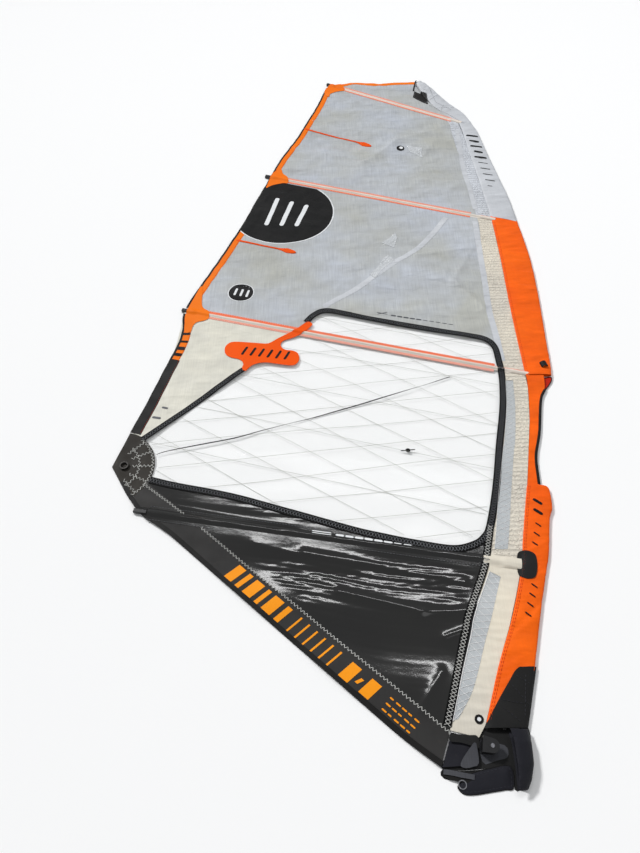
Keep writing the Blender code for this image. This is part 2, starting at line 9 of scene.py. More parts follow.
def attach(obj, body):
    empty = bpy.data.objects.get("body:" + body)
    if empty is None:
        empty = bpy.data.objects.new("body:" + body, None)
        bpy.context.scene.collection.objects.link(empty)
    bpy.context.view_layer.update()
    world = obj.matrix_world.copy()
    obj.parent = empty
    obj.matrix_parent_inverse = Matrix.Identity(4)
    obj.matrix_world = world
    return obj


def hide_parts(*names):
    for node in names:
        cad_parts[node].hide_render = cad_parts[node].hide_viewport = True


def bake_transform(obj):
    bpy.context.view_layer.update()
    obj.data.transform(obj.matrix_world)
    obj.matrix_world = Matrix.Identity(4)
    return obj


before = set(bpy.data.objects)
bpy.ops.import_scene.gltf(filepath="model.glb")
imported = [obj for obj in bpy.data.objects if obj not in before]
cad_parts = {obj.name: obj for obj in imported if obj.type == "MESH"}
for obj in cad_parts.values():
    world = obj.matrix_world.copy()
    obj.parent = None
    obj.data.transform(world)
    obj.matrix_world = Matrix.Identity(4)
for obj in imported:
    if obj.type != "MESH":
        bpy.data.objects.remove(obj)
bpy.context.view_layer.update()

AXIS_Z = 0.0075          # height of the battens, the fold axes and the sleeve
REST_Z = 0.0034          # height of the cloth where nothing holds it up
FLOOR_GAP = 0.0009
CLOTH = 0.0005           # thickness of the laminate
LEVEL = 0.0007           # each layer of tape lies this much higher
BODY_STEP = 0.009
FINE_STEP = 0.004
POCKET_HALF = 0.0115     # half width of the raised part of a batten pocket
POCKET_TOP = 0.0143
HOOD_TOP = 0.0155        # cloth over a batten tensioner
SKIN = 0.0006            # thickness of a pocket or sleeve
SLEEVE_HALF = 0.0070     # half height of the empty mast sleeve
SLEEVE_LOW = 0.0009      # underside of the mast sleeve
FOLD_HALF = 0.0115       # half width across a fold, for tapes and pockets; ride reads it and bends nothing
WIDE_FOLD = 0.020        # the same for the sleeve and what is sewn to it
STITCH_ON = 0.006
STITCH_OFF = 0.003

# leech end, luff end, body on the head side, body on the tack side
BATTENS = {
    "head": ((-0.058, 1.8363), (0.652, 1.4222), "head_section", "upper_section"),
    "upper": ((-0.378, 0.8876), (0.694, 0.5434), "upper_section", "middle_section"),
    "middle": ((-0.681, -0.0868), (0.672, -0.4311), "middle_section", "window_section"),
    "lower": ((-0.722, -1.0416), (0.512, -1.2297), "window_section", "foot_section"),
}

LEECH = [(-0.070, 1.800), (-0.088, 1.738), (-0.153, 1.503), (-0.206, 1.338), (-0.265, 1.174),
         (-0.329, 1.003), (-0.388, 0.800), (-0.435, 0.644), (-0.488, 0.468), (-0.547, 0.291),
         (-0.606, 0.138), (-0.680, -0.085), (-0.678, -0.200), (-0.694, -0.318),
         (-0.759, -0.565), (-0.800, -0.7195)]
HEAD_EDGE = [(0.462, 1.8685), (0.324, 1.868), (0.229, 1.850), (0.112, 1.866), (0.018, 1.838),
             (-0.045, 1.828)]
FOOT = [(-0.800, -0.929), (-0.757, -0.993), (-0.700, -1.060), (-0.600, -1.130),
        (-0.400, -1.300), (-0.200, -1.470), (0.000, -1.640), (0.120, -1.740), (0.210, -1.805)]
FOOT_SEAM = [(-0.500, -1.105), (0.245, -1.722)]
SLEEVE_INNER = [(0.458, 1.845), (0.500, 1.700), (0.560, 1.560), (0.632, 1.452), (0.664, 1.405),
                (0.674, 1.320), (0.682, 1.126), (0.694, 0.915), (0.703, 0.720), (0.712, 0.525),
                (0.708, 0.250), (0.698, 0.000), (0.692, -0.250), (0.690, -0.460)]
SLEEVE_OUTER = [(0.500, 1.868), (0.571, 1.738), (0.641, 1.609), (0.706, 1.503), (0.744, 1.368),
                (0.758, 1.310), (0.776, 1.126), (0.800, 0.915), (0.824, 0.700), (0.833, 0.495),
                (0.8415, 0.250), (0.830, 0.000), (0.806, -0.294), (0.781, -0.480)]
STRIP_INNER = [(0.690, -0.400), (0.688, -0.506), (0.665, -0.659), (0.629, -0.824),
               (0.600, -0.951)]
STRIP_OUTER = [(0.760, -0.400), (0.752, -0.506), (0.724, -0.565), (0.688, -0.718),
               (0.653, -0.824), (0.642, -0.951)]
LOWER_INNER = [(0.600, -0.945), (0.548, -1.150), (0.530, -1.2325), (0.470, -1.400),
               (0.405, -1.545), (0.347, -1.696)]
LOWER_OUTER = [(0.640, -0.940), (0.668, -0.946), (0.675, -0.965), (0.670, -1.030),
               (0.653, -1.070), (0.625, -1.190), (0.607, -1.245), (0.558, -1.390),
               (0.510, -1.545), (0.459, -1.696)]
WINDOW_TAPE = [(-0.168, -0.156), (-0.135, -0.115), (-0.088, -0.092), (-0.006, -0.108),
               (0.135, -0.147), (0.300, -0.188), (0.500, -0.235), (0.560, -0.253),
               (0.590, -0.285), (0.598, -0.340), (0.596, -0.470), (0.571, -0.624),
               (0.529, -0.800), (0.488, -0.976), (0.450, -1.100), (0.425, -1.140),
               (0.390, -1.165), (0.320, -1.180), (0.200, -1.160), (0.100, -1.138),
               (0.000, -1.113), (-0.200, -1.050), (-0.400, -0.987), (-0.600, -0.944),
               (-0.700, -0.918)]
WINDOW_LEECH = [(-0.410, -0.416), (-0.560, -0.563), (-0.752, -0.752)]
LUFF_TAPE = [(0.452, -1.095), (0.434, -1.160), (0.407, -1.249), (0.342, -1.388),
             (0.321, -1.450), (0.2385, -1.704)]
WINDOW_EDGE = [(-0.170, -0.155), (-0.125, -0.104), (-0.088, -0.092), (-0.006, -0.108),
               (0.135, -0.147), (0.300, -0.188), (0.500, -0.235), (0.568, -0.258),
               (0.594, -0.300), (0.596, -0.470), (0.571, -0.624), (0.529, -0.800),
               (0.488, -0.976), (0.450, -1.100), (0.400, -1.150), (0.320, -1.172),
               (0.100, -1.128), (0.000, -1.105), (-0.200, -1.043), (-0.400, -0.985),
               (-0.600, -0.940), (-0.695, -0.915), (-0.690, -0.850), (-0.710, -0.795),
               (-0.746, -0.746), (-0.406, -0.412)]
CLEW = (-0.840, -0.866)

# Ridges in the cloth: plan line, height, width
CREASES = [
    ((-0.060, 1.715), (0.300, 1.545), 0.0065, 0.013),
    ((-0.150, 1.420), (0.230, 1.235), 0.0068, 0.012),
    ((-0.245, 1.150), (0.120, 1.005), 0.0072, 0.014),
    ((0.110, 0.995), (0.300, 1.215), 0.0078, 0.030),
    ((0.300, 1.215), (0.640, 1.395), 0.0078, 0.030),
    ((-0.300, 0.955), (0.240, 0.935), 0.0052, 0.030),
    ((0.250, 0.900), (0.700, 0.770), 0.0078, 0.035),
    ((0.420, 1.140), (0.640, 1.090), 0.0065, 0.025),
    ((0.520, 1.240), (0.430, 1.060), 0.0046, 0.018),
    ((0.200, 1.860), (0.420, 1.690), 0.0059, 0.020),
    ((0.080, 1.840), (0.330, 1.660), 0.0039, 0.022),
    ((-0.540, 0.180), (0.020, 0.085), 0.0044, 0.022),
    ((-0.580, 0.085), (0.060, -0.035), 0.0047, 0.024),
    ((-0.330, -0.020), (0.500, -0.130), 0.0052, 0.024),
    ((0.330, 0.270), (0.600, 0.335), 0.0059, 0.012),
    ((0.200, 0.245), (0.430, 0.110), 0.0052, 0.018),
    ((0.440, 0.150), (0.585, -0.060), 0.0072, 0.020),
    ((0.580, 0.300), (0.480, 0.110), 0.0052, 0.016),
    ((0.020, 0.280), (0.160, 0.060), 0.0039, 0.020),
    ((0.480, 0.500), (0.640, 0.495), 0.0026, 0.010),
    ((-0.160, -1.190), (0.340, -1.292), 0.0055, 0.014),
    ((-0.050, -1.320), (0.200, -1.385), 0.0065, 0.012),
    ((0.190, -1.390), (0.350, -1.380), 0.0059, 0.010),
    ((0.260, -1.460), (0.320, -1.440), 0.0052, 0.008),
    ((0.170, -1.660), (0.240, -1.560), 0.0052, 0.010),
    ((-0.320, -1.160), (0.000, -1.235), 0.0039, 0.020),
    ((-0.640, -1.010), (-0.200, -1.095), 0.0039, 0.018),
]


# ------------------------------------------------------------------ plan geometry

def arr(points):
    return np.array(points, float)


def length(line):
    return float(np.linalg.norm(np.diff(arr(line), axis=0), axis=1).sum())


def travelled(line):
    """Distance along a line to each of its points."""
    return np.concatenate([[0], np.cumsum(np.linalg.norm(np.diff(line, axis=0), axis=1))])


def counted(line, count):
    """The same plan line with that many points, evenly spaced."""
    line = arr(line)
    along = travelled(line)
    at = np.linspace(0, along[-1], count)
    return np.stack([np.interp(at, along, line[:, k]) for k in range(2)], axis=1)


def spaced(line, step):
    """The same plan line with points about step apart."""
    return counted(line, max(2, int(math.ceil(travelled(arr(line))[-1] / step)) + 1))


def spline(points, step, least):
    """Points on a curve through all but the first and last of the points."""
    made = []
    for a, b, c, d in zip(points, points[1:], points[2:], points[3:]):
        count = max(least, int(np.linalg.norm(c - b) / step))
        for u in np.arange(count) / count:
            made.append(0.5 * (2 * b + (c - a) * u + (2 * a - 5 * b + 4 * c - d) * u * u
                               + (3 * b - a - 3 * c + d) * u ** 3))
    return made


def smooth(line, step=0.008):
    """A curve through the points, with corners rounded."""
    p = arr(line)
    ends = np.vstack([2 * p[0] - p[1], p, 2 * p[-1] - p[-2]])
    return spaced(spline(ends, step, 2) + [p[-1]], step)


def rounded(loop, step=0.006):
    """A smooth closed curve through the points."""
    p = arr(loop)
    return arr(spline(np.vstack([p[-1:], p, p[:2]]), step, 1))


def closed(loop):
    return np.vstack([loop, loop[:1]])


def facing(run):
    """Unit directions along a line, and to its left."""
    run = run / np.maximum(np.linalg.norm(run, axis=-1), 1e-9)[..., None]
    return run, np.stack([-run[..., 1], run[..., 0]], axis=-1)


def beside(line, distance):
    """The line moved to its left."""
    line = arr(line)
    left = facing(np.gradient(line, axis=0))[1]
    return line + left * np.broadcast_to(distance, len(line))[:, None]


def away(p, line, ring=False):
    """Distance of each point from a plan line."""
    p, line = arr(p), arr(line)
    found = np.full(len(p), 9.0)
    for a, b in zip(line, np.roll(line, -1, 0)) if ring else zip(line[:-1], line[1:]):
        ab = b - a
        t = np.clip(((p - a) @ ab) / max(ab @ ab, 1e-12), 0, 1)
        found = np.minimum(found, np.linalg.norm(p - a - t[:, None] * ab, axis=1))
    return found


def inside(p, loop):
    """Which of the points lie within a plan outline."""
    p, loop = arr(p), arr(loop)
    x, y = p[:, 0], p[:, 1]
    odd = np.zeros(len(p), bool)
    for (ax, ay), (bx, by) in zip(loop, np.roll(loop, -1, 0)):
        if ay != by:
            odd ^= ((ay > y) != (by > y)) & (x < (bx - ax) * (y - ay) / (by - ay) + ax)
    return odd


def area_of(loop):
    x, y = arr(loop).T
    return 0.5 * abs(np.dot(x, np.roll(y, -1)) - np.dot(y, np.roll(x, -1)))


def flat_size(loop):
    """Width and length of the smallest rectangle round a plan outline."""
    p = arr(loop)
    best = None
    for degrees in range(0, 90, 3):
        c, s = math.cos(math.radians(degrees)), math.sin(math.radians(degrees))
        size = np.ptp(p @ arr([[c, -s], [s, c]]), axis=0)
        if best is None or size.prod() < best.prod():
            best = size
    return float(best.min()), float(best.max())


def batten_line(name):
    """Leech end of a batten, its direction, and the direction across it towards the head."""
    start, end = arr(BATTENS[name][0]), arr(BATTENS[name][1])
    u = (end - start) / np.linalg.norm(end - start)
    return start, u, arr([-u[1], u[0]])


def station(p, name):
    """Distance along a batten from its leech end, and across it towards the head."""
    start, u, v = batten_line(name)
    q = arr(p) - start
    return q @ u, q @ v


def at_batten(name, s, t=0.0):
    """The point at that distance along and across a batten."""
    start, u, v = batten_line(name)
    s, t = np.broadcast_arrays(np.asarray(s, float), np.asarray(t, float))
    return start + s[..., None] * u + t[..., None] * v


def batten_length(name):
    return length(BATTENS[name][:2])


def kept(line, above=None, below=None, margin=0.0):
    """The points of a line on the tack side of one batten and the head side of another."""
    line = arr(line)
    keep = np.ones(len(line), bool)
    if above:
        keep &= station(line, above)[1] < -margin
    if below:
        keep &= station(line, below)[1] > margin
    return line[keep]


def section_phase(p):
    """0 at the head batten, 1, 2, 3 at the next ones, and smooth in between."""
    across = [station(p, name)[1] for name in BATTENS]
    phase = -across[0] / 0.9
    for k in range(3):
        between = (across[k] <= 0) & (across[k + 1] > 0)
        share = -across[k] / np.maximum(across[k + 1] - across[k], 1e-9)
        phase = np.where(between, k + share, phase)
    return np.where(across[3] <= 0, 3 - across[3] / 0.6, phase)


def step_up(x, low, high):
    """0 below low, 1 above high, and smooth in between."""
    t = np.clip((x - low) / (high - low), 0, 1)
    return t * t * (3 - 2 * t)


def ripples(p, size, seed, count=7):
    """Smooth noise of about that wavelength, from -1 to 1."""
    draw = np.random.default_rng(seed)
    total = np.zeros(len(p))
    for _ in range(count):
        angle, shift = draw.uniform(0, math.pi), draw.uniform(0, 2 * math.pi)
        k = 2 * math.pi / (size * draw.uniform(0.7, 1.5))
        total += np.sin(p[:, 0] * k * math.cos(angle) + p[:, 1] * k * math.sin(angle) + shift)
    return total / math.sqrt(count) / 1.4


# ------------------------------------------------------------------ the lie of the cloth

LUFF_PANEL_MID = [(0.645, 1.400), (0.650, 1.300), (0.655, 1.126), (0.661, 0.915), (0.668, 0.720),
                  (0.678, 0.525), (0.672, 0.250), (0.656, 0.000), (0.652, -0.250),
                  (0.650, -0.460), (0.640, -0.600), (0.600, -0.800), (0.570, -0.930),
                  (0.520, -1.140), (0.480, -1.250), (0.420, -1.420), (0.350, -1.600),
                  (0.300, -1.710)]
LUFF_LINE = SLEEVE_INNER[3:] + STRIP_INNER[1:] + LOWER_INNER[1:]


def relief(p):
    """Height of the top of the cloth where no batten is under it."""
    p = arr(p)
    lift = np.exp(-(away(p, LUFF_LINE) / 0.055) ** 2)
    for name in BATTENS:
        s, t = station(p, name)
        end = batten_length(name)
        near = np.exp(-(t / 0.045) ** 2)
        near *= step_up(s, -0.10, -0.02) * (1 - step_up(s, end + 0.02, end + 0.15))
        lift = np.maximum(lift, near)
    x, y = p[:, 0], p[:, 1]
    phase = section_phase(p)
    wave = 0.0028 * (1 + np.sin(2 * math.pi * 2.7 * phase + 0.8 + 0.9 * np.sin(2.3 * x + 0.5)))
    wave += 0.0016 * ripples(p, 0.34, 3)
    creased = 0.15 + 0.85 * step_up(y, -0.9, -0.4)
    wave += 0.0013 * ripples(p * arr([0.45, 1.0]), 0.085, 8) * creased
    wave += 0.0005 * ripples(p * arr([0.6, 1.0]), 0.038, 9) * step_up(y, -0.2, 0.3)
    for a, b, high, wide in CREASES:
        d = away(p, [a, b])
        wave += high * np.exp(-(np.sqrt(d * d + 0.000016) - 0.004) / wide)
    z = REST_Z + (AXIS_Z - REST_Z) * lift + (1 - 0.85 * lift) * wave
    return np.maximum(z, FLOOR_GAP + CLOTH)


def gathers(seed):
    """Random folds along the luff, close together at the head and wide apart at the tack."""
    draw = np.random.default_rng(seed)
    q, found = -1.80, np.zeros(len(LUFF_Q))
    while q < 1.50:
        gap = float(np.interp(q, [-1.8, -0.9, -0.3, 0.6, 1.2],
                              [0.034, 0.028, 0.021, 0.017, 0.014]))
        size = float(np.interp(q, [-1.8, -0.9, -0.3, 0.6, 1.2, 1.35],
                               [1.5, 0.9, 0.8, 1.2, 1.6, 1.9])) * 0.0014
        q += gap * draw.uniform(0.5, 1.5)
        found += size * draw.uniform(0.2, 1.0) * np.exp(-((LUFF_Q - q) / (gap * 0.24)) ** 2)
        found -= size * 0.5 * np.exp(-((LUFF_Q - q - gap * 0.4) / (gap * 0.3)) ** 2)
    return found


LUFF_Q = np.arange(-1.90, 1.60, 0.001)
GATHERS = [gathers(21), gathers(22)]


def pucker(p):
    """Gathers across the stitched luff panel."""
    p = arr(p)
    q = p[:, 1] + 0.18 * (p[:, 0] - 0.65)
    far = away(p, LUFF_PANEL_MID)
    left = inside(p, np.vstack([LUFF_PANEL_MID, [(-1.0, -1.7), (-1.0, 1.4)]]))
    side = step_up(np.where(left, -far, far), -0.028, 0.028)
    fold = [np.interp(q, LUFF_Q, g) for g in GATHERS]
    return (fold[0] * (1 - side) + fold[1] * side) * np.exp(-(far / 0.034) ** 4)


def film(p):
    """Lie of the stiff black film, with long flat folds and small crinkles."""
    p = arr(p)
    s, t = station(p, "lower")
    low = np.exp(-((t + 0.150 + 0.05 * np.sin(s * 5)) / 0.070) ** 2)
    low *= step_up(s, 0.30, 0.55)
    low += 0.8 * np.exp(-((t - 0.072) / 0.026) ** 2) * step_up(s, 0.30, 0.45) * (
        1 - step_up(s, 0.62, 0.80))
    wave = 0.0009 * np.sin(t * 150 + 2.2 * np.sin(s * 6.1) + 0.8 * np.sin(s * 17))
    wave += 0.0005 * np.sin(t * 320 + 3.0 * np.sin(s * 9.3) + 1.0)
    fine = 0.00035 * ripples(p * arr([0.35, 1.0]), 0.011, 61)
    edge = np.minimum(away(p, FOOT_SEAM), away(p, LUFF_TAPE))
    calm = step_up(edge, 0.010, 0.040) * step_up(np.abs(t), 0.022, 0.050)
    return relief(p) + calm * (wave * (0.12 + 0.9 * low) + fine * (0.06 + 1.1 * low))


def puckered(p):
    """Lie of the gathered luff panels."""
    return np.maximum(relief(p) + pucker(p), FLOOR_GAP + CLOTH)


def arch(t, half, power=1.0):
    """A smooth hump from -half to half."""
    return np.where(np.abs(t) < half, (0.5 + 0.5 * np.cos(math.pi * t / half)) ** power, 0)


def ridge(p, name):
    """Height of the top of a batten pocket, or of the cloth beside it."""
    s, t = station(p, name)
    level = relief(p) + LEVEL
    tube = arch(t, POCKET_HALF) * (POCKET_TOP - level)
    hood = arch(t, 0.0150, 0.35) * (HOOD_TOP - level)
    hooded = 1 - step_up(s, 0.036, 0.058)
    return level + tube * (1 - hooded) + hood * hooded


# ------------------------------------------------------------------ meshes

def grid(rows):
    """Vertices and quads of a surface, from rows of points."""
    rows = arr(rows)
    n, m = rows.shape[:2]
    i, j = np.meshgrid(np.arange(n - 1), np.arange(m - 1), indexing="ij")
    a = (i * m + j).ravel()
    return rows.reshape(-1, 3), [tuple(f) for f in np.stack([a, a + m, a + m + 1, a + 1], 1)]


def upward(v, f):
    """The faces turned so that most look up."""
    total = 0.0
    for face in f[:: max(1, len(f) // 200)]:
        a, b, c = v[face[0]], v[face[1]], v[face[2]]
        total += np.cross(b - a, c - a)[2]
    return f if total > 0 else [tuple(reversed(face)) for face in f]


def thicken(v, f, thickness, offset=None):
    """A thin closed solid under a surface."""
    if offset is None:
        f, offset = upward(v, f), arr([0, 0, thickness])
    count = len(v)
    seen = {}
    for face in f:
        for a, b in zip(face, face[1:] + face[:1]):
            seen[(a, b)] = True
    rim = [(b, a, a + count, b + count) for (a, b) in seen if (b, a) not in seen]
    under = [tuple(k + count for k in reversed(face)) for face in f]
    return np.vstack([v, v - offset]), list(f) + under + rim


def shell(rows, thickness):
    """Closed solid inside a surface given as rows of points, the first half of each on top."""
    rows = arr(rows)
    for _ in range(2):
        normal = np.cross(np.gradient(rows, axis=0), np.gradient(rows, axis=1))
        normal /= np.maximum(np.linalg.norm(normal, axis=2), 1e-12)[..., None]
        if normal[:, : rows.shape[1] // 3, 2].mean() > 0:
            break
        rows = rows[::-1]
    v, f = grid(rows)
    return thicken(v, f, thickness, normal.reshape(-1, 3) * thickness)


def tube_faces(n, m, turned):
    """Faces of an open tube of n rings of m points, with its inner skin after the outer."""
    total, f = n * m, []

    def corners(i, j):
        return i * m + j, i * m + (j + 1) % m

    for i in range(n - 1):
        for j in range(m):
            a, b = corners(i, j)
            skins = [(a, b, b + m, a + m), (a, a + m, b + m, b)]
            outer, inner = skins[::-1] if turned else skins
            f += [outer, tuple(k + total for k in inner)]
    for i in (0, n - 1):
        for j in range(m):
            a, b = corners(i, j)
            quad = (a, b, b + total, a + total) if turned else (a, a + total, b + total, b)
            f.append(quad if i == 0 else quad[::-1])
    return f


def merged(parts):
    v, f, total = [], [], 0
    for pv, pf in parts:
        v.append(pv)
        f += [tuple(k + total for k in face) for face in pf]
        total += len(pv)
    return np.vstack(v), f


def finish(made, material):
    """Give a piece its only material."""
    made.data.materials.clear()
    made.data.materials.append(MATERIALS[material][0])
    return made


def make(name, v, f, material, sharp=45):
    mesh = bpy.data.meshes.new(name)
    mesh.from_pydata([tuple(map(float, p)) for p in v], [], f)
    mesh.validate()
    mesh.polygons.foreach_set("use_smooth", [True] * len(mesh.polygons))
    mesh.set_sharp_from_angle(angle=math.radians(sharp))
    made = finish(bpy.data.objects.new(name, mesh), material)
    bpy.context.scene.collection.objects.link(made)
    return made


def raised(p, height, level):
    return np.column_stack([p, height(p) + level * LEVEL])


def patch(loop, step, height, level=0.0, thickness=CLOTH):
    """Thin closed solid over a plan outline, on a triangle grid."""
    loop, points = arr(loop), []
    for a, b in zip(loop, np.roll(loop, -1, 0)):
        n = max(1, int(math.ceil(np.linalg.norm(b - a) / step)))
        points += [a + (b - a) * k / n for k in range(n)]
    edges = [(k, (k + 1) % len(points)) for k in range(len(points))]
    low, high = loop.min(0), loop.max(0)
    fill = []
    for j, y in enumerate(np.arange(low[1], high[1], step * 0.866)):
        x = np.arange(low[0] + (j % 2) * step / 2, high[0], step)
        fill.append(np.stack([x, np.full_like(x, y)], 1))
    fill = np.concatenate(fill)
    fill = fill[inside(fill, loop)]
    fill = fill[away(fill, loop, True) > step * 0.55]
    points = np.vstack([arr(points), fill])
    found = geometry.delaunay_2d_cdt([Vector(p) for p in points], edges, [], 1, 1e-7, False)
    flat, faces = arr([tuple(p) for p in found[0]]), [tuple(t) for t in found[2]]
    keep = inside(arr([flat[list(t)].mean(0) for t in faces]), loop)
    faces = [t for t, k in zip(faces, keep) if k]
    return thicken(raised(flat, height, level), faces, thickness)


def ribbon(left, right, height, level=0.0, thickness=CLOTH, columns=3, step=0.006):
    """Thin closed solid between two plan lines that run the same way."""
    count = max(2, int(math.ceil(max(length(left), length(right)) / step)) + 1)
    left, right = counted(left, count), counted(right, count)
    rows = [raised(left * (1 - mix) + right * mix, height, level)
            for mix in np.linspace(0, 1, columns)]
    return thicken(*grid(rows), thickness)


def tape(line, inner, outer, height, level=0.0, thickness=CLOTH, columns=3, step=0.006):
    """Ribbon between two offsets to the left of a line."""
    line = spaced(line, step)
    return ribbon(beside(line, inner), beside(line, outer), height, level, thickness,
                  columns, step)


def thread(path, height, level, radius=0.0008):
    """Four-sided stitch thread along a plan path."""
    path = arr(path)
    left = facing(np.gradient(path, axis=0))[1]
    side = np.column_stack([left, np.zeros(len(path))]) * radius
    middle = raised(path, height, level)
    up = arr([0, 0, radius])
    rows = [middle + side, middle + up, middle - side, middle - up * 0.4]
    n, f = len(path), []
    for k in range(4):
        a, b = k * n, ((k + 1) % 4) * n
        f += [(a + i, b + i, b + i + 1, a + i + 1) for i in range(n - 1)]
    f += [(0, n, 2 * n, 3 * n)[::-1], (n - 1, 2 * n - 1, 3 * n - 1, 4 * n - 1)]
    return np.vstack(rows), f


def zigzag(line, pitch, swing, phase=0):
    """Corners of a zigzag along a line."""
    line = spaced(line, pitch / 2)
    sign = np.where((np.arange(len(line)) + phase) % 2 == 0, 1.0, -1.0)
    return beside(line, sign * swing)


def dashes(line, on, off):
    """Short stretches of a line, each of three steps."""
    line = spaced(line, on / 3)
    gap = max(1, int(round(off / (on / 3))))
    return [line[i:i + 4] for i in range(0, len(line) - 3, 3 + gap)]


def loop_of(name):
    """Plan outline of the top of a flat CAD node."""
    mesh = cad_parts[name].data
    top = max(v.co.z for v in mesh.vertices) - 0.0002
    edges = set()
    for p in mesh.polygons:
        if p.normal.z > 0.9 and all(mesh.vertices[i].co.z > top for i in p.vertices):
            keys = [tuple(round(c, 5) for c in mesh.vertices[i].co[:2]) for i in p.vertices]
            edges |= {(a, b) for a, b in zip(keys, keys[1:] + keys[:1]) if a != b}
    following = {a: b for a, b in edges if (b, a) not in edges}
    loops = []
    while following:
        start = next(iter(following))
        loop, here = [start], following.pop(start)
        while here != start and here in following:
            loop.append(here)
            here = following.pop(here)
        loops.append(loop)
    return max(loops, key=area_of)


# ------------------------------------------------------------------ materials

MATERIALS = {}


def linear(rgb):
    return tuple((c / 255 / 12.92) if c <= 10 else ((c / 255 + 0.055) / 1.055) ** 2.4
                 for c in rgb) + (1,)


class Nodes:
    """Small helper to wire one material."""

    def __init__(self, name):
        self.material = bpy.data.materials.new(name)
        self.material.use_nodes = True
        self.tree = self.material.node_tree
        self.shader = self.tree.nodes["Principled BSDF"]
        self.place = self.tree.nodes.new("ShaderNodeTexCoord").outputs["Object"]

    def put(self, socket, value):
        """Set a socket, or link it where the value is another node's output."""
        if isinstance(value, bpy.types.NodeSocket):
            self.tree.links.new(value, socket)
        else:
            socket.default_value = value

    def node(self, kind, output, sockets, **settings):
        made = self.tree.nodes.new("ShaderNode" + kind)
        for key, value in settings.items():
            setattr(made, key, value)
        for socket, value in sockets.items():
            self.put(made.inputs[socket], value)
        return made.outputs[output]

    def shade(self, **sockets):
        """Set or link sockets of the shader, with _ for a space in their names."""
        for name, value in sockets.items():
            self.put(self.shader.inputs[name.replace("_", " ")], value)

    def mapped(self, scale=(1, 1, 1), turn=0.0):
        return self.node("Mapping", "Vector", {"Vector": self.place, "Scale": scale,
                                               "Rotation": (0, 0, turn)})

    def noise(self, scale, detail=3.0, stretch=(1, 1, 1), turn=0.0, rough=0.5):
        return self.node("TexNoise", "Fac", {"Vector": self.mapped(stretch, turn),
                                             "Scale": scale, "Detail": detail,
                                             "Roughness": rough})

    def wave(self, scale, turn=0.0, warp=0.0):
        return self.node("TexWave", "Fac", {"Vector": self.mapped((1, 1, 1), turn),
                                            "Scale": scale, "Distortion": warp,
                                            "Detail Scale": 7.0})

    def ramp(self, fac, low, high, out_low=0.0, out_high=1.0):
        return self.node("MapRange", "Result", {"Value": fac, "From Min": low, "From Max": high,
                                                "To Min": out_low, "To Max": out_high})

    def times(self, a, b):
        return self.node("Math", "Value", {0: a, 1: b}, operation="MULTIPLY")

    def mix(self, fac, a, b):
        return self.node("Mix", 2, {0: fac, 6: a, 7: b}, data_type="RGBA")

    def bump(self, height, distance_mm, strength=1.0, before=None):
        sockets = {"Height": height, "Distance": distance_mm / 1000, "Strength": strength}
        if before is not None:
            sockets["Normal"] = before
        return self.node("Bump", "Normal", sockets)


def cloth_material(key, slot, colour, second, rough=0.5, spread=0.12, weave=900.0,
                   streak=0.10, relief_mm=0.15, sheen=0.0, coat=0.0, alpha=1.0, specular=0.5,
                   crinkle=0.0, dirt=0.0, folds=(), ribs=0.0):
    """Woven or laminated cloth: two tones (on the ply a painted sky reflection), weave, streaks,
    crinkles, soft folds and ribs with painted shade, and dirt.

    Each of the folds is its count per metre, its share of that along X, and its depth in mm.
    """
    n = Nodes(key)
    # Two tones at random; on the ply they are a painted sky reflection, bluish light against warm
    # grey.
    tones_and_sky_sheen = n.ramp(n.noise(2.6, 4.0), 0.35, 0.65)
    base = n.mix(tones_and_sky_sheen, linear(colour), linear(second))
    streaks = n.ramp(n.noise(1.0, 2.0, (260, 9, 9)), 0.3, 0.7)
    base = n.mix(n.times(streaks, streak), base, linear([c * 0.62 for c in colour]))
    if dirt:
        spots = n.ramp(n.noise(38.0, 5.0, rough=0.7), 0.60, 0.78)
        base = n.mix(n.times(spots, dirt), base, linear((104, 94, 80)))
    lies = [(n.noise(count, 3.0, (along, 1, 1), rough=0.45), depth, 0.60, 0.38, 0.16)
            for count, along, depth in folds]
    if ribs:
        lies.append((n.times(n.wave(18.0, math.pi / 2, 5.0), n.noise(16.0, 2.0)), ribs, 0.30,
                     0.02, 0.45))
    # Painted shade: along each fold and rib the base colour is darkened towards a darker copy of
    # the second tone.
    for lie, depth, high, low, most in lies:
        shade = n.times(n.ramp(lie, high, low), most)
        base = n.mix(shade, base, linear([c * 0.80 for c in second]))
    threads = n.times(n.wave(weave / 6.283), n.wave(weave / 6.283, math.pi / 2))
    normal = n.bump(threads, relief_mm, 0.55)
    if crinkle:
        normal = n.bump(n.noise(46.0, 5.0, rough=0.62), crinkle, 0.8, normal)
    for lie, depth, high, low, most in lies:
        normal = n.bump(lie, depth, 1.0, normal)
    wear = n.ramp(n.noise(17.0, 4.0), 0.25, 0.75, max(rough - spread, 0.02), rough + spread)
    n.shade(Base_Color=base, Normal=normal, Roughness=wear, Sheen_Weight=sheen,
            Coat_Weight=coat, Coat_Roughness=0.18, Alpha=alpha, Specular_IOR_Level=specular)
    MATERIALS[key] = (n.material, slot)


def hard_material(key, slot, colour, second, rough, metallic=0.0):
    """Moulded plastic, metal or composite: mottled tone, fine grain, scratches."""
    n = Nodes(key)
    base = n.mix(n.ramp(n.noise(120.0, 3.0), 0.3, 0.7), linear(colour), linear(second))
    scratches = n.ramp(n.noise(30.0, 2.0, (14, 1, 1), 0.6), 0.55, 0.75)
    n.shade(Base_Color=base, Roughness=n.ramp(scratches, 0, 1, rough, rough + 0.25),
            Normal=n.bump(n.noise(840.0, 2.0), 0.03, 0.5), Metallic=metallic)
    MATERIALS[key] = (n.material, slot)


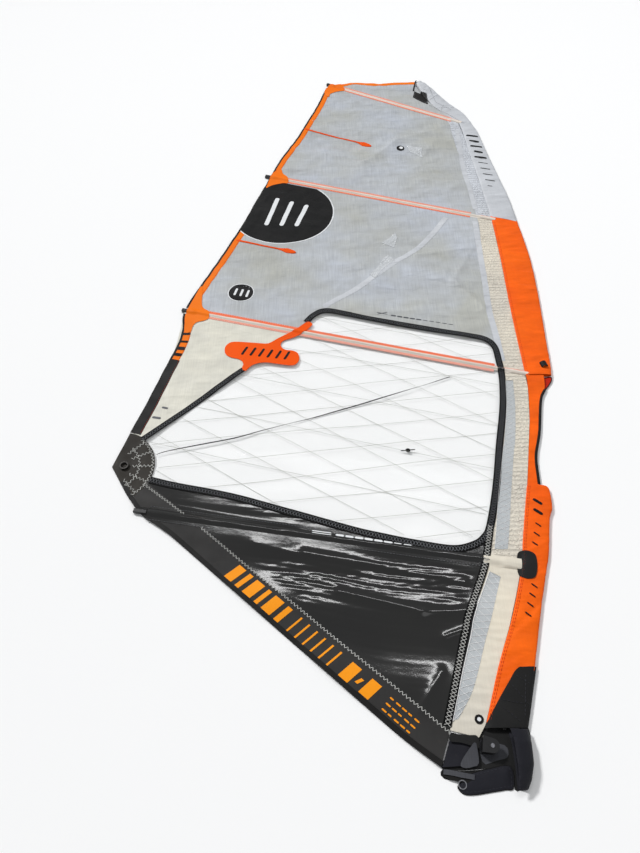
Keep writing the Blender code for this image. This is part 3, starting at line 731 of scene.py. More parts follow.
PLY = dict(rough=0.42, coat=0.10, relief_mm=0.10)
DACRON = dict(streak=0.10, weave=1400.0, specular=0.3)
ORANGE = dict(weave=1300.0)
TAPE = dict(rough=0.45, streak=0.06, weave=1300.0)
FILM = dict(streak=0.0, weave=1500.0)
PADDING = dict(weave=900.0, relief_mm=0.3, streak=0.15)
THREAD = dict(rough=0.7, streak=0.0, weave=5000.0, specular=0.2)
PRINT = dict(rough=0.5, streak=0.0, weave=2000.0, specular=0.2)

# name, slot in the record, the two tones, the kind of cloth, and what differs from it
CLOTHS = [
    # The ply's two tones, bluish light and warm grey, are a painted sky reflection; its folds add
    # painted shade.
    ("ply", "ply_cloth", (197, 203, 214), (186, 187, 180), PLY,
     dict(spread=0.10, streak=0.30, crinkle=0.5, specular=0.4,
          folds=((7, 0.3, 36), (24, 0.5, 7)))),
    ("ply_warm", "ply_cloth", (232, 229, 214), (216, 214, 204), PLY,
     dict(streak=0.16, crinkle=0.4, specular=0.35, folds=((9, 0.4, 22), (26, 0.6, 5)))),
    ("white", "white_dacron", (206, 209, 214), (194, 197, 202), DACRON,
     dict(rough=0.58, sheen=0.05, dirt=0.12, folds=((22, 0.4, 13),))),
    ("white_gathered", "white_dacron", (222, 226, 234), (208, 212, 218), DACRON,
     dict(rough=0.5, dirt=0.12, ribs=5.5)),
    ("cream_gathered", "cream_dacron", (238, 229, 211), (222, 215, 202), DACRON,
     dict(rough=0.55, dirt=0.18, ribs=5.0)),
    ("cream", "cream_dacron", (230, 221, 202), (214, 208, 195), DACRON,
     dict(rough=0.55, sheen=0.05, dirt=0.18)),
    ("orange", "orange_cloth", (254, 106, 8), (248, 94, 5), ORANGE,
     dict(rough=0.55, streak=0.06, sheen=0.03, dirt=0.04, specular=0.14,
          folds=((15, 0.3, 12), (40, 0.5, 2.5)))),
    ("leech_orange", "orange_cloth", (246, 122, 8), (240, 112, 5), ORANGE,
     dict(rough=0.55, streak=0.05, dirt=0.04, specular=0.15)),
    ("patch_orange", "orange_cloth", (244, 88, 2), (238, 82, 2), ORANGE,
     dict(rough=0.5, streak=0.04, specular=0.12)),
    # A darker red copy of the orange: painted shade inside the sleeve mouth.
    ("lip_red", "orange_cloth", (190, 34, 8), (170, 28, 6), ORANGE,
     dict(rough=0.6, streak=0.05, specular=0.15)),
    ("pocket_edge", "pocket_tape", (236, 150, 128), (230, 160, 144), TAPE,
     dict(specular=0.3)),
    ("pocket_line", "pocket_tape", (244, 116, 76), (238, 126, 92), TAPE,
     dict(specular=0.2)),
    # The white of the raised pocket tube is a painted highlight along its ridge.
    ("pocket_white", "pocket_tape", (236, 228, 216), (226, 214, 202), TAPE,
     dict(rough=0.38, streak=0.05)),
    ("black_tape", "black_cloth", (8, 8, 9), (5, 5, 6), {},
     dict(rough=0.66, streak=0.2, weave=1100.0, dirt=0.02, specular=0.12)),
    ("binding", "black_cloth", (16, 15, 15), (22, 21, 20), {},
     dict(rough=0.6, streak=0.2, weave=1500.0, sheen=0.03, specular=0.2)),
    ("foot_grey", "black_cloth", (52, 51, 50), (42, 41, 41), {},
     dict(rough=0.66, streak=0.12, weave=1100.0, sheen=0.04, dirt=0.10, specular=0.22)),
    ("clew_cloth", "black_cloth", (48, 44, 38), (34, 31, 28), {},
     dict(rough=0.6, streak=0.15, weave=1000.0, dirt=0.3, specular=0.2)),
    ("black_film", "black_film", (14, 13, 12), (19, 18, 16), FILM,
     dict(rough=0.10, spread=0.04, relief_mm=0.02, crinkle=0.5, dirt=0.05, specular=0.7,
          coat=0.4)),
    ("window", "clear_film", (238, 240, 238), (230, 234, 232), FILM,
     dict(rough=0.08, spread=0.03, relief_mm=0.01, crinkle=0.3, alpha=0.06)),
    ("clear_patch", "clear_film", (240, 242, 244), (226, 230, 234), FILM,
     dict(rough=0.10, spread=0.05, relief_mm=0.01, crinkle=0.9, alpha=0.40)),
    ("scrim_cloth", "clear_film", (186, 190, 192), (176, 181, 184), {},
     dict(rough=0.35, weave=1200.0)),
    ("window_thread", "pocket_tape", (168, 170, 160), (158, 161, 150), {},
     dict(rough=0.6, streak=0.0, weave=4000.0)),
    ("stitch_light", "white_dacron", (214, 214, 210), (196, 196, 192), THREAD, {}),
    ("stitch_white", "white_dacron", (236, 236, 236), (224, 224, 224), THREAD, {}),
    ("stitch_orange", "orange_cloth", (214, 66, 8), (196, 56, 6), THREAD, {}),
    ("stitch_grey", "white_dacron", (132, 134, 138), (118, 120, 124), THREAD, {}),
    ("stitch_dark", "black_cloth", (56, 56, 62), (46, 46, 52), THREAD, {}),
    ("print_black", "black_cloth", (7, 7, 8), (11, 11, 12), PRINT, {}),
    ("print_white", "white_dacron", (232, 234, 236), (222, 224, 226), PRINT, {}),
    ("print_grey", "black_cloth", (96, 98, 102), (84, 86, 90), PRINT, {}),
    ("print_amber", "orange_cloth", (252, 160, 24), (246, 148, 18), PRINT,
     dict(weave=1600.0, specular=0.15)),
    ("navy", "navy_padding", (24, 25, 34), (18, 18, 26), PADDING,
     dict(rough=0.72, sheen=0.06, dirt=0.05, specular=0.25)),
    ("cover_black", "navy_padding", (20, 20, 20), (27, 27, 27), PADDING,
     dict(rough=0.7, sheen=0.05, dirt=0.04, specular=0.22)),
    ("webbing", "navy_padding", (78, 79, 84), (60, 61, 66), PADDING,
     dict(rough=0.75, streak=0.3, weave=500.0, relief_mm=0.4, sheen=0.08, dirt=0.1,
          specular=0.25)),
]
for key, slot, colour, second, kind, more in CLOTHS:
    cloth_material(key, slot, colour, second, **{**kind, **more})
hard_material("dark_metal", "steel", (70, 68, 66), (48, 46, 45), 0.36, 0.9)
hard_material("plastic", "black_plastic", (17, 17, 18), (24, 24, 26), 0.38)
hard_material("plastic_grey", "black_plastic", (48, 50, 54), (38, 40, 44), 0.42)
hard_material("steel", "steel", (186, 186, 190), (160, 160, 166), 0.24, 1.0)
hard_material("glass_fibre", "glass_fibre", (196, 184, 140), (176, 164, 122), 0.4)


# ------------------------------------------------------------------ placing pieces

def ride(made, body, half=FOLD_HALF):
    """Let a piece move with a body; a piece at a batten is left where it is, with its transform
    baked in.
    """
    if body not in BATTENS:
        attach(made, body)
        return made
    start, end = at_batten(body, 0.1, half), at_batten(body, 0.1, -half)
    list(start)
    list(end)
    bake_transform(made)
    return made


def laid(made, loop):
    """Work out the flat size of a sheet cut to a plan outline, and return the piece unchanged."""
    width, long_side = flat_size(loop)
    area = area_of(loop)
    if area < 0.32 * width * long_side:
        long_side = length(closed(loop)) / 2
        width, area = area / long_side, None
    elif area > width * long_side:
        area = width * long_side
    return made


def strip_sheet(made, line, width):
    """Return a tape piece unchanged."""
    max(width, 0.01)
    length(line)
    return made


def cloth_patch(name, loop, body, material, height=relief, level=0.0, step=0.006,
                thickness=CLOTH, replaces=(), half=FOLD_HALF):
    """Cloth cut to a plan outline."""
    made = make(name, *patch(loop, step, height, level, thickness), material)
    if replaces:
        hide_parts(*replaces)
    laid(made, loop)
    return ride(made, body, half)


def sewn(name, lines, body, material, height=relief, level=1.2, radius=0.0005,
         on=STITCH_ON, off=STITCH_OFF, half=FOLD_HALF):
    """Running stitches along each of the lines."""
    runs = [thread(run, height, level, radius) for line in lines for run in dashes(line, on, off)]
    return ride(make(name, *merged(runs), material), body, half)


def zigzags(lines, pitch, swing, level, height=relief, radius=0.0011, step=0.004, phases=(0,)):
    """Threads that zigzag along each of the lines."""
    return [thread(spaced(zigzag(line, pitch, swing, phase), step), height, level, radius)
            for line in lines for phase in phases]


def panel(node, material, body, step=BODY_STEP, height=relief):
    """The cloth that stands for a flat CAD panel."""
    cloth_patch(node + "_cloth", loop_of(node), body, material, height, 0.0, step,
                CLOTH, [node])


# ------------------------------------------------------------------ panels

panel("head_panel", "ply", "head_section")
panel("upper_panel", "ply", "upper_section")
panel("middle_panel", "ply", "middle_section")
panel("leech_panel", "ply_warm", "window_section")
for part, cloth, section, batten in (("upper", "white_gathered", "upper", "upper"),
                                     ("middle", "cream_gathered", "middle", "middle"),
                                     ("lower", "cream_gathered", "window", "middle"),
                                     ("foot", "cream", "foot", "lower")):
    panel(part + "_luff_panel", cloth, section + "_section", FINE_STEP,
          puckered)
panel("window_film_upper", "window", "middle_section", 0.014)
panel("window_film_lower", "window", "window_section", 0.014)
panel("clew_panel", "black_film", "window_section", 0.0055, film)
panel("foot_panel", "black_film", "foot_section", 0.0048, film)
panel("foot_strip", "foot_grey", "foot_section", 0.009)
panel("clew_patch", "clew_cloth", "window_section", 0.007)
panel("tack_patch", "navy", "foot_section", 0.007)


# ------------------------------------------------------------------ batten pockets

def pocket(name, luff_end, half=POCKET_HALF, top=POCKET_TOP, material="pocket_white",
           start=0.036, key="pocket_", stripe=None):
    """Raised sleeve of cloth round a batten, with an outer and an inner skin; by default white, a
    painted highlight along its ridge.
    """
    s = np.arange(start, luff_end + 0.004, 0.007)
    swell = step_up(s, batten_length(name) - 0.046, batten_length(name) - 0.034)
    across_top = np.linspace(-half, half, 13)
    rings = []
    for skin in (0.0, SKIN):
        t = np.concatenate([across_top, across_top[::-1][1:-1]])
        side = np.concatenate([np.ones(13), -np.ones(11)])
        ring = []
        for k in range(len(t)):
            p = at_batten(name, s, np.full(len(s), t[k] * (1 - 2 * skin / half)))
            level = relief(p)
            bend = arch(t[k], half) ** (1 - 0.70 * swell)
            wobble = 0.00035 * np.sin(s * 61 + k) + 0.00035 * np.sin(s * 23 + 2 * k)
            if side[k] > 0:
                z = level + bend * (top + 0.0014 * swell - level - skin) + wobble * bend
            else:
                z = level - SKIN - bend * (level - SKIN - 0.0014 + 0.0012 * swell - skin)
            ring.append(np.column_stack([p, z]))
        rings.append(np.stack(ring, axis=1))
    n, m = rings[0].shape[:2]
    v = np.vstack([ring.reshape(-1, 3) for ring in rings])
    made = make(key + name, v, tube_faces(n, m, True), material, 60)
    if key == "pocket_":
        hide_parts("batten_pocket_" + name)
    if stripe:
        made.data.materials.append(MATERIALS[stripe][0])
        for face in made.data.polygons:
            column = face.index // 2 % m
            face.material_index = 1 if 7 <= column < 12 else 0
    return ride(made, name)


def pocket_wings(name, start, stop, widths, materials, inner=0.0095):
    """Flat edges of a pocket, sewn to the panels on each side."""
    s = np.arange(start, stop, 0.006)
    for side, end, width, key, body in zip((1, -1), ("head", "tack"), widths, materials,
                                           BATTENS[name][2:]):
        a, b = at_batten(name, s, side * inner), at_batten(name, s, side * (inner + width))
        made = make("pocket_%s_edge_%s" % (name, end), *ribbon(a, b, relief, 1.0, CLOTH, 4), key)
        strip_sheet(made, a, width)
        ride(made, body)
        sewn("pocket_%s_stitch_%s" % (name, end),
             [at_batten(name, s, side * (inner + width - 0.003))], body,
             "stitch_white" if key != "black_film" else "stitch_grey", level=1.6)


pocket("head", batten_length("head") + 0.030, stripe="pocket_edge")
pocket("upper", batten_length("upper") + 0.034, stripe="pocket_edge")
pocket("middle", batten_length("middle") + 0.034, stripe="pocket_edge")
pocket("lower", 1.150, 0.0170, 0.0152, "black_film")
pocket("lower", batten_length("lower") + 0.014, 0.0200, 0.0150, "cream", 1.146, "luff_pocket_")
pocket_wings("head", 0.060, 0.800, (0.0140, 0.0100), ("pocket_edge", "pocket_line"))
pocket_wings("upper", 0.090, 1.050, (0.0140, 0.0100), ("pocket_edge", "pocket_line"))
pocket_wings("middle", 0.090, 1.302, (0.0120, 0.0120), ("pocket_line", "pocket_edge"))
pocket_wings("lower", 0.040, 1.150, (0.0120, 0.0120), ("black_film", "black_film"), 0.0155)


# ------------------------------------------------------------------ edge tapes

def strip(name, line, inner, outer, body, material, height=relief, level=1.0,
          thickness=CLOTH, columns=3, step=0.006, replaces=(), half=FOLD_HALF):
    """Tape between two offsets to the left of a line."""
    made = make(name, *tape(line, inner, outer, height, level, thickness, columns, step),
                material)
    if replaces:
        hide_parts(*replaces)
    strip_sheet(made, line, round(outer - inner, 6))
    return ride(made, body, half)


def edge_tapes(key, body, line, width, material):
    """Leech tape of one section with its thin black edging."""
    inner = 0.0075
    strip("leech_tape_" + key, line, inner, inner + width, body, material)
    ride(make("leech_edging_" + key, *tape(line, -0.0005, 0.0085, relief, 1.3, 0.0014),
              "binding"), body)
    sewn("leech_stitch_" + key, [beside(line, inner + width - 0.003)], body, "stitch_orange",
         level=1.7)


leech = smooth(LEECH, 0.006)
below = kept(leech, "middle", None, 0.014)
for key, body, line, width, material in (
        ("upper", "upper_section", kept(leech, "head", "upper", 0.014), 0.027, "leech_orange"),
        ("middle", "middle_section", kept(leech, "upper", "middle", 0.014), 0.028,
         "leech_orange"),
        ("barred", "window_section", below[below[:, 1] > -0.362], 0.030, "leech_orange"),
        ("clew", "window_section", below[below[:, 1] < -0.356], 0.033, "binding")):
    edge_tapes(key, body, line, width, material)

bars = []
for y in (-0.218, -0.259, -0.300, -0.335):
    run = below[np.abs(below[:, 1] - y) < 0.010]
    bars.append(ribbon(beside(run, 0.0080), beside(run, 0.0375) + arr([0, 0.003]), relief, 2.0,
                       0.0003))
ride(make("leech_bars", *merged(bars), "print_black"), "window_section")

strip("head_tape", smooth(HEAD_EDGE, 0.006), -0.001, 0.024, "head_section", "leech_orange")
foot_line = smooth(FOOT, 0.006)
strip("foot_binding", foot_line, -0.0005, 0.015, "lower", "binding",
      relief, 1.4, 0.0016, half=WIDE_FOLD)
tail = foot_line[foot_line[:, 0] > -0.02]
ride(make("foot_piping", *thread(beside(tail, 0.016), relief, 2.0, 0.0011), "foot_grey"),
     "foot_section")


# ------------------------------------------------------------------ sleeves

def sleeve(name, inner, outer, halves, material, replaces, seed, ripple, fold, half_fold):
    """Flattened mast sleeve with an outer and an inner skin, softly creased across."""
    count, sides = max(8, int(max(length(inner), length(outer)) / 0.006)), 26
    a, b = counted(inner, count), counted(outer, count)
    width = np.linalg.norm(b - a, axis=1)
    share = np.linspace(0, 1, count)
    half = np.interp(share, *arr(halves).T)
    draw = np.random.default_rng(seed)
    q, total = share * length(outer), length(outer)
    folds = [(draw.uniform(0, total), draw.uniform(-0.05, 0.05), draw.uniform(0.004, 0.013),
              draw.choice([-1.0, 0.8]) * draw.uniform(0.3, 1.0), draw.uniform(-0.5, 1.0))
             for _ in range(int(total / 0.028))]
    shells = []
    for skin in (0.0, SKIN):
        ring = []
        for k in range(sides):
            angle = 2 * math.pi * k / sides
            c, s = math.cos(angle), math.sin(angle)
            mix = 0.5 + (0.5 - skin / width) * c
            lift = math.copysign(abs(s) ** 0.55, s) * (half - skin)
            crease = sum(size * np.exp(-((q - at - slant * c) / wide) ** 2)
                         * math.exp(-max(0, abs(c - side) - 0.7) * 3)
                         for at, slant, wide, size, side in folds)
            lean = crease * ripple * (1.0 if s > 0 else 0.25) * abs(s)
            edge = 0.0011 * np.clip(crease, -1, 1) * max(c, 0) ** 3
            p = a + (b - a) * mix[:, None]
            p[:, 0] += edge
            z = np.maximum(SLEEVE_LOW + half + lift + lean, SLEEVE_LOW + skin)
            ring.append(np.column_stack([p, z]))
        shells.append(np.stack(ring, axis=1))
    v = np.vstack([s.reshape(-1, 3) for s in shells])
    made = make(name, v, tube_faces(*shells[0].shape[:2], False), material, 70)
    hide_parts(*replaces)
    (length(inner) + length(outer)) / 2
    return ride(made, fold, half_fold)


HEAD_HALVES = [(0, 0.0095), (0.030, 0.0126), (0.080, 0.0128), (0.125, 0.0088), (0.18, 0.0064),
               (1, 0.0066)]
white_in = arr(SLEEVE_INNER[:9] + [(0.7105, 0.552)])
white_out = arr(SLEEVE_OUTER[:9] + [(0.8325, 0.512)])
orange_in = arr([(0.7095, 0.556)] + SLEEVE_INNER[9:13] + [(0.690, -0.446)])
orange_out = arr([(0.8330, 0.516), (0.8335, 0.495)] + SLEEVE_OUTER[10:13]
                 + [(0.800, -0.380), (0.790, -0.448)])
sleeve("mast_sleeve_head", smooth(white_in), smooth(white_out), HEAD_HALVES, "white",
       ("head_sleeve", "upper_sleeve"), 11, 0.0026, "head", WIDE_FOLD)
sleeve("mast_sleeve_upper", smooth(orange_in), smooth(orange_out),
       [(0, 0.0066), (0.1, 0.0070), (0.95, 0.0070), (1, 0.0084)], "orange",
       ("middle_sleeve",), 12, 0.0028, "upper", 0.016)
made = make("cutout_sleeve", *ribbon(smooth(STRIP_INNER), smooth(STRIP_OUTER),
                                     lambda p: 0.0062 + 0.0010 * ripples(p, 0.05, 5)
                                     + 0.0066 * step_up(p[:, 1], -0.545, -0.455), 1.0,
                                     0.0034, 9, 0.005), "orange")
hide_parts("cutout_strip")
ride(made, "middle", WIDE_FOLD)
sleeve("mast_sleeve_lower", smooth(LOWER_INNER), smooth(LOWER_OUTER),
       [(0, SLEEVE_HALF), (1, SLEEVE_HALF)], "orange", ("lower_sleeve", "foot_sleeve"), 13,
       0.0017, "lower", WIDE_FOLD)


def sleeve_top(p, inner, outer, half):
    """Height of the top of a sleeve, or of the cloth beside it."""
    inner, outer = arr(inner), arr(outer)
    a, b = away(p, inner), away(p, outer)
    c = np.clip((b - a) / np.maximum(a + b, 1e-6), -1, 1)
    top = SLEEVE_LOW + half + np.sqrt(np.maximum(1 - c * c, 0)) ** 0.55 * half
    within = inside(p, np.vstack([inner, outer[::-1]]))
    return np.where(within, np.maximum(top, relief(p)), relief(p))


def head_top(p):
    """Top of the white sleeve, which is fuller round the head cap."""
    run = 1.868 - np.asarray(p)[:, 1]
    half = np.interp(run / 1.40, *arr(HEAD_HALVES).T)
    return sleeve_top(p, white_in, white_out, half) + 0.0008


def lower_top(p):
    """Top of the lower sleeve, carried on past its end to the tack."""
    return sleeve_top(p, LOWER_INNER + [(0.330, -1.732)], LOWER_OUTER + [(0.448, -1.732)],
                      SLEEVE_HALF) + 0.0012


def draped(height, reach):
    """The highest of a height function round each point, so that cloth clears what is below."""
    def over_all(p):
        p = arr(p)
        around = [height(p + reach * arr([math.cos(a), math.sin(a)]))
                  for a in np.arange(8) * math.pi / 4]
        return np.max(around + [height(p)], axis=0)
    return over_all


# ------------------------------------------------------------------ patches and badges

def clipped(loop, point, normal):
    """The part of a plan outline on one side of a line."""
    loop, point, normal = arr(loop), arr(point), arr(normal)
    side = (loop - point) @ normal
    made = []
    for k in range(len(loop)):
        if (side[k - 1] > 0) != (side[k] > 0):
            mix = side[k - 1] / (side[k - 1] - side[k])
            made.append(loop[k - 1] + (loop[k] - loop[k - 1]) * mix)
        if side[k] > 0:
            made.append(loop[k])
    return arr(made)


def disc(centre, radius, count=72):
    """Outline of a disc."""
    angle = np.arange(count) * 2 * math.pi / count
    return arr(centre) + radius * np.stack([np.cos(angle), np.sin(angle)], 1)


def bar(start, end, width, ends=4):
    """Outline of a round-ended bar."""
    start, end = arr(start), arr(end)
    heading = math.atan2(*(end - start)[::-1])
    turn = np.linspace(-math.pi / 2, math.pi / 2, ends + 1)
    return arr([point + side * width / 2 * arr([math.cos(heading + a), math.sin(heading + a)])
                for point, side in ((end, 1), (start, -1)) for a in turn])


def printed(name, loops, body, material, height=relief, level=1.0, step=0.010):
    """Thin print in one or more pieces."""
    parts = [patch(loop, step, height, level, 0.0002) for loop in loops]
    return ride(make(name, *merged(parts), material), body)


def over(name):
    """Height function of the cloth with one batten pocket on it."""
    return lambda p: ridge(p, name)


FLARES = {
    "head": [(-0.084, 1.745), (-0.074, 1.702), (-0.057, 1.692), (-0.047, 1.722), (-0.020, 1.744),
             (0.010, 1.756), (0.030, 1.762), (0.036, 1.780), (0.030, 1.806), (0.018, 1.838),
             (-0.020, 1.833), (-0.050, 1.826), (-0.068, 1.798)],
    "upper": [(-0.350, 0.925), (-0.322, 0.948), (-0.308, 0.944), (-0.300, 0.915),
              (-0.276, 0.884), (-0.272, 0.832), (-0.300, 0.830), (-0.354, 0.812),
              (-0.380, 0.788), (-0.372, 0.842), (-0.358, 0.895)],
    "middle": [(-0.630, 0.060), (-0.618, 0.030), (-0.613, -0.040), (-0.604, -0.072),
               (-0.579, -0.092), (-0.574, -0.112), (-0.576, -0.136), (-0.592, -0.147),
               (-0.622, -0.156), (-0.636, -0.175), (-0.643, -0.206), (-0.668, -0.206),
               (-0.672, -0.110), (-0.660, -0.056)],
}
for key, loop in FLARES.items():
    cloth_patch("leech_flare_" + key, rounded(loop), key, "leech_orange",
                over(key), 2.0, 0.005)

REINFORCEMENT = [
    (-0.141, -0.168), (-0.160, -0.154), (-0.186, -0.175), (-0.212, -0.202), (-0.240, -0.221),
    (-0.277, -0.244), (-0.304, -0.265), (-0.328, -0.276), (-0.392, -0.270), (-0.457, -0.265),
    (-0.482, -0.276), (-0.493, -0.302), (-0.487, -0.334), (-0.466, -0.354), (-0.436, -0.364),
    (-0.420, -0.374), (-0.412, -0.392), (-0.416, -0.412), (-0.401, -0.426), (-0.385, -0.405),
    (-0.362, -0.390), (-0.323, -0.383), (-0.260, -0.393), (-0.219, -0.397), (-0.200, -0.384),
    (-0.192, -0.358), (-0.199, -0.328), (-0.219, -0.314), (-0.247, -0.309), (-0.263, -0.297),
    (-0.269, -0.280), (-0.261, -0.262), (-0.241, -0.252), (-0.213, -0.241), (-0.189, -0.225),
    (-0.167, -0.206), (-0.152, -0.187)]
cloth_patch("window_patch", rounded(REINFORCEMENT), "middle", "patch_orange",
            over("middle"), 3.0)
strokes = [bar(start, start + arr([0.016, 0.037]), 0.010)
           for start in (arr([-0.420 + k * 0.034, -0.336 - k * 0.0048]) for k in range(6))]
printed("window_patch_bars", strokes, "window_section", "print_black", over("middle"), 3.6)



def over_tape(p):
    """Height of what lies on the panel and over the leech tape."""
    return relief(p) + LEVEL * 1.2 * (1 - step_up(away(p, leech), 0.040, 0.060))


leech_side = arr([0.957, -0.288])
for radius, key, level in ((0.2490, "print_white", 1.0), (0.2430, "print_black", 1.4)):
    loop = clipped(disc((-0.290, 0.600), radius, 120), arr([-0.435, 0.644])
                   + leech_side * 0.009, leech_side)
    loop = clipped(loop, at_batten("upper", 0.1, -0.026), -arr([0.3057, 0.9521]))
    printed("badge_" + key[6:], [loop], "middle_section", key, over_tape, level, 0.009)
marks = [bar((-0.365 + k * 0.072, 0.505 - k * 0.004), (-0.320 + k * 0.072, 0.690 - k * 0.026),
             0.021) for k in range(3)]
printed("badge_marks", marks, "middle_section", "print_white", relief, 1.8)
SMALL_BADGE, HEAD_LABEL, HEAD_MARK, TACK_LABEL = ((-0.451, 0.021), (0.321, 1.150),
                                                  (0.325, 1.154), (0.328, -1.688))
printed("small_badge_rim", [disc(SMALL_BADGE, 0.057)], "middle_section", "print_white")
printed("small_badge", [disc(SMALL_BADGE, 0.053)], "middle_section", "print_black", relief, 1.4)
printed("small_badge_marks", [bar((x, y), (x + 0.008, y + 0.032), 0.010)
                              for x, y in ((-0.478, 0.010), (-0.452, 0.004), (-0.426, -0.002))],
        "middle_section", "print_white", relief, 1.8)
printed("round_label_head", [disc(HEAD_LABEL, 0.021)], "upper_section", "print_black")
printed("round_label_head_mark", [disc(HEAD_MARK, 0.010)], "upper_section", "print_white",
        relief, 1.4)
printed("round_label_tack", [disc(TACK_LABEL, 0.0125, 36)], "foot_section", "print_black",
        relief, 2.0)
printed("round_label_tack_mark", [disc(TACK_LABEL, 0.0055, 20)], "foot_section", "print_white",
        relief, 2.4, 0.006)


def crumpled(seed, high):
    """Height function of a crumpled patch of film on the cloth."""
    def height(p):
        folds = np.abs(ripples(p, 0.030, seed)) + 0.6 * np.abs(ripples(p, 0.016, seed + 1))
        return relief(p) + 0.0008 + high * (1 - folds)
    return height


CRINKLES = {
    "head": [(0.352, 1.172), (0.385, 1.160), (0.436, 1.138), (0.428, 1.100), (0.430, 1.058),
             (0.400, 1.092), (0.372, 1.112)],
    "upper": [(0.246, 0.440), (0.250, 0.400), (0.232, 0.330), (0.205, 0.345), (0.176, 0.362),
              (0.215, 0.400)],
    "lower": [(0.196, 0.266), (0.226, 0.232), (0.180, 0.185), (0.128, 0.112), (0.110, 0.140),
              (0.150, 0.190), (0.172, 0.236)],
}
for index, (key, loop) in enumerate(CRINKLES.items()):
    cloth_patch("clear_repair_" + key, loop,
                "upper_section" if key == "head" else "middle_section", "clear_patch",
                crumpled(40 + index, 0.0022), 0.4, 0.0035)


# ------------------------------------------------------------------ mini battens

def mini_batten(node, start, end, body, blob=0.0165):
    """Short tapered batten in its pocket, with an arrow-shaped inner end."""
    start, end = arr(start), arr(end)
    run = np.linalg.norm(end - start)
    u, v = facing(end - start)
    profile = [(0.0, 0.0068), (0.08, 0.0052), (run - 0.085, 0.0048), (run - 0.068, 0.0075),
               (run - 0.058, blob * 0.70), (run - 0.044, blob), (run - 0.018, blob * 0.80),
               (run - 0.005, blob * 0.50), (run, blob * 0.22)]
    loop = arr([start + s * u + w * v for s, w in profile]
               + [start + s * u - w * v for s, w in profile[::-1]])

    def height(p):
        s, t = (p - start) @ u, (p - start) @ v
        wide = np.interp(s, *arr(profile).T) + 1e-4
        swell = np.clip(1 - (t / wide) ** 2, 0, 1) ** 0.6
        return relief(p) + 0.0006 + 0.0034 * swell * step_up(s, -0.02, 0.02)

    cloth_patch(node + "_pocket", loop, body, "patch_orange", height, 0.5,
                0.005, 0.0006, [node])
    sewn(node + "_stitch", [loop[1:7] * 0.93 + loop[1:7].mean(0) * 0.07], body, "stitch_orange",
         height, 1.0)


mini_batten("mini_batten_upper", (-0.196, 1.345), (0.166, 1.174), "upper_section")
mini_batten("mini_batten_middle", (-0.496, 0.377), (-0.220, 0.288), "middle_section", 0.0150)


# ------------------------------------------------------------------ window tapes and seams

def seam_tape(name, line, half, body, material, height=relief, level=1.0,
              replaces=(), stitched=None):
    """Tape over a seam, with two crossing zigzags of stitching."""
    line = smooth(line, 0.006)
    strip(name, line, -half, half, body, material, height, level, CLOTH, 5, 0.006,
          replaces)
    if stitched:
        radius = 0.0006 if stitched == "stitch_grey" else 0.0009
        parts = zigzags([line], 0.0210, half * 0.72, level + 1.1, height, radius, 0.0045, (0, 1))
        ride(make(name + "_stitch", *merged(parts), stitched), body)


seam_tape("window_tape", WINDOW_TAPE, 0.0130, "middle", "black_tape",
          over("middle"), 1.6,
          ("window_tape_upper", "window_tape_lower"), "stitch_grey")
seam_tape("window_tape_leech_side", WINDOW_LEECH, 0.0115, "window_section", "black_tape",
          relief, 1.6, ("window_tape_leech",), "stitch_grey")
seam_tape("luff_seam_tape", LUFF_TAPE, 0.0120, "lower", "black_tape",
          over("lower"), 1.8, (), "stitch_light")
seam_tape("luff_white_tape_upper", [(0.648, 1.330), (0.634, 1.000), (0.648, 0.620)], 0.0120,
          "upper_section", "white", puckered, 1.2)
seam_tape("luff_white_tape_middle", [(0.630, 0.520), (0.622, 0.300), (0.614, 0.126),
                                     (0.608, -0.021), (0.606, -0.110), (0.610, -0.250),
                                     (0.612, -0.370)], 0.0130,
          "middle_section", "white", relief, 1.2)
seam_tape("diagonal_tape", [(-0.094, -0.070), (0.041, 0.044), (0.180, 0.178), (0.324, 0.309),
                            (0.420, 0.430), (0.494, 0.545)], 0.0125, "middle_section", "white")

SCRIM = [
    ("window_section", [(0.608, -0.472), (0.590, -0.600), (0.560, -0.740), (0.538, -0.820),
                        (0.505, -0.950), (0.474, -1.090), (0.452, -1.180)],
     [(0.637, -0.472), (0.622, -0.600), (0.598, -0.740), (0.577, -0.820), (0.547, -0.950),
      (0.517, -1.090), (0.494, -1.180)]),
    ("foot_section", [(0.424, -1.256), (0.359, -1.392), (0.337, -1.460), (0.285, -1.604),
                      (0.256, -1.692)],
     [(0.456, -1.274), (0.411, -1.392), (0.383, -1.460), (0.325, -1.604), (0.272, -1.686)]),
]
for body, left, right in SCRIM:
    key = body.split("_")[0]
    left, right = smooth(left), smooth(right)
    made = make("scrim_tape_" + key, *ribbon(left, right, puckered, 1.0, CLOTH, 6),
                "scrim_cloth")
    strip_sheet(made, left, 0.038)
    ride(made, body)
    count = int(length(left) / 0.021)
    left, right = counted(left, count), counted(right, count)
    lines = []
    for slope in (0, 1):
        for k in range(-1, count - 1):
            a, b = (left[max(k, 0)], right[k + 1]) if slope else (left[k + 1], right[max(k, 0)])
            lines.append(thread(spaced([a, b], 0.006), puckered, 1.6, 0.0008))
    ride(make("scrim_tape_threads_" + key, *merged(lines), "stitch_white"), body)
    edge = thread(spaced(left, 0.006), puckered, 2.0, 0.0016 if key == "foot" else 0.0009)
    ride(make("scrim_tape_edge_" + key, *edge, "stitch_white"), body)


# ------------------------------------------------------------------ threads in the window film

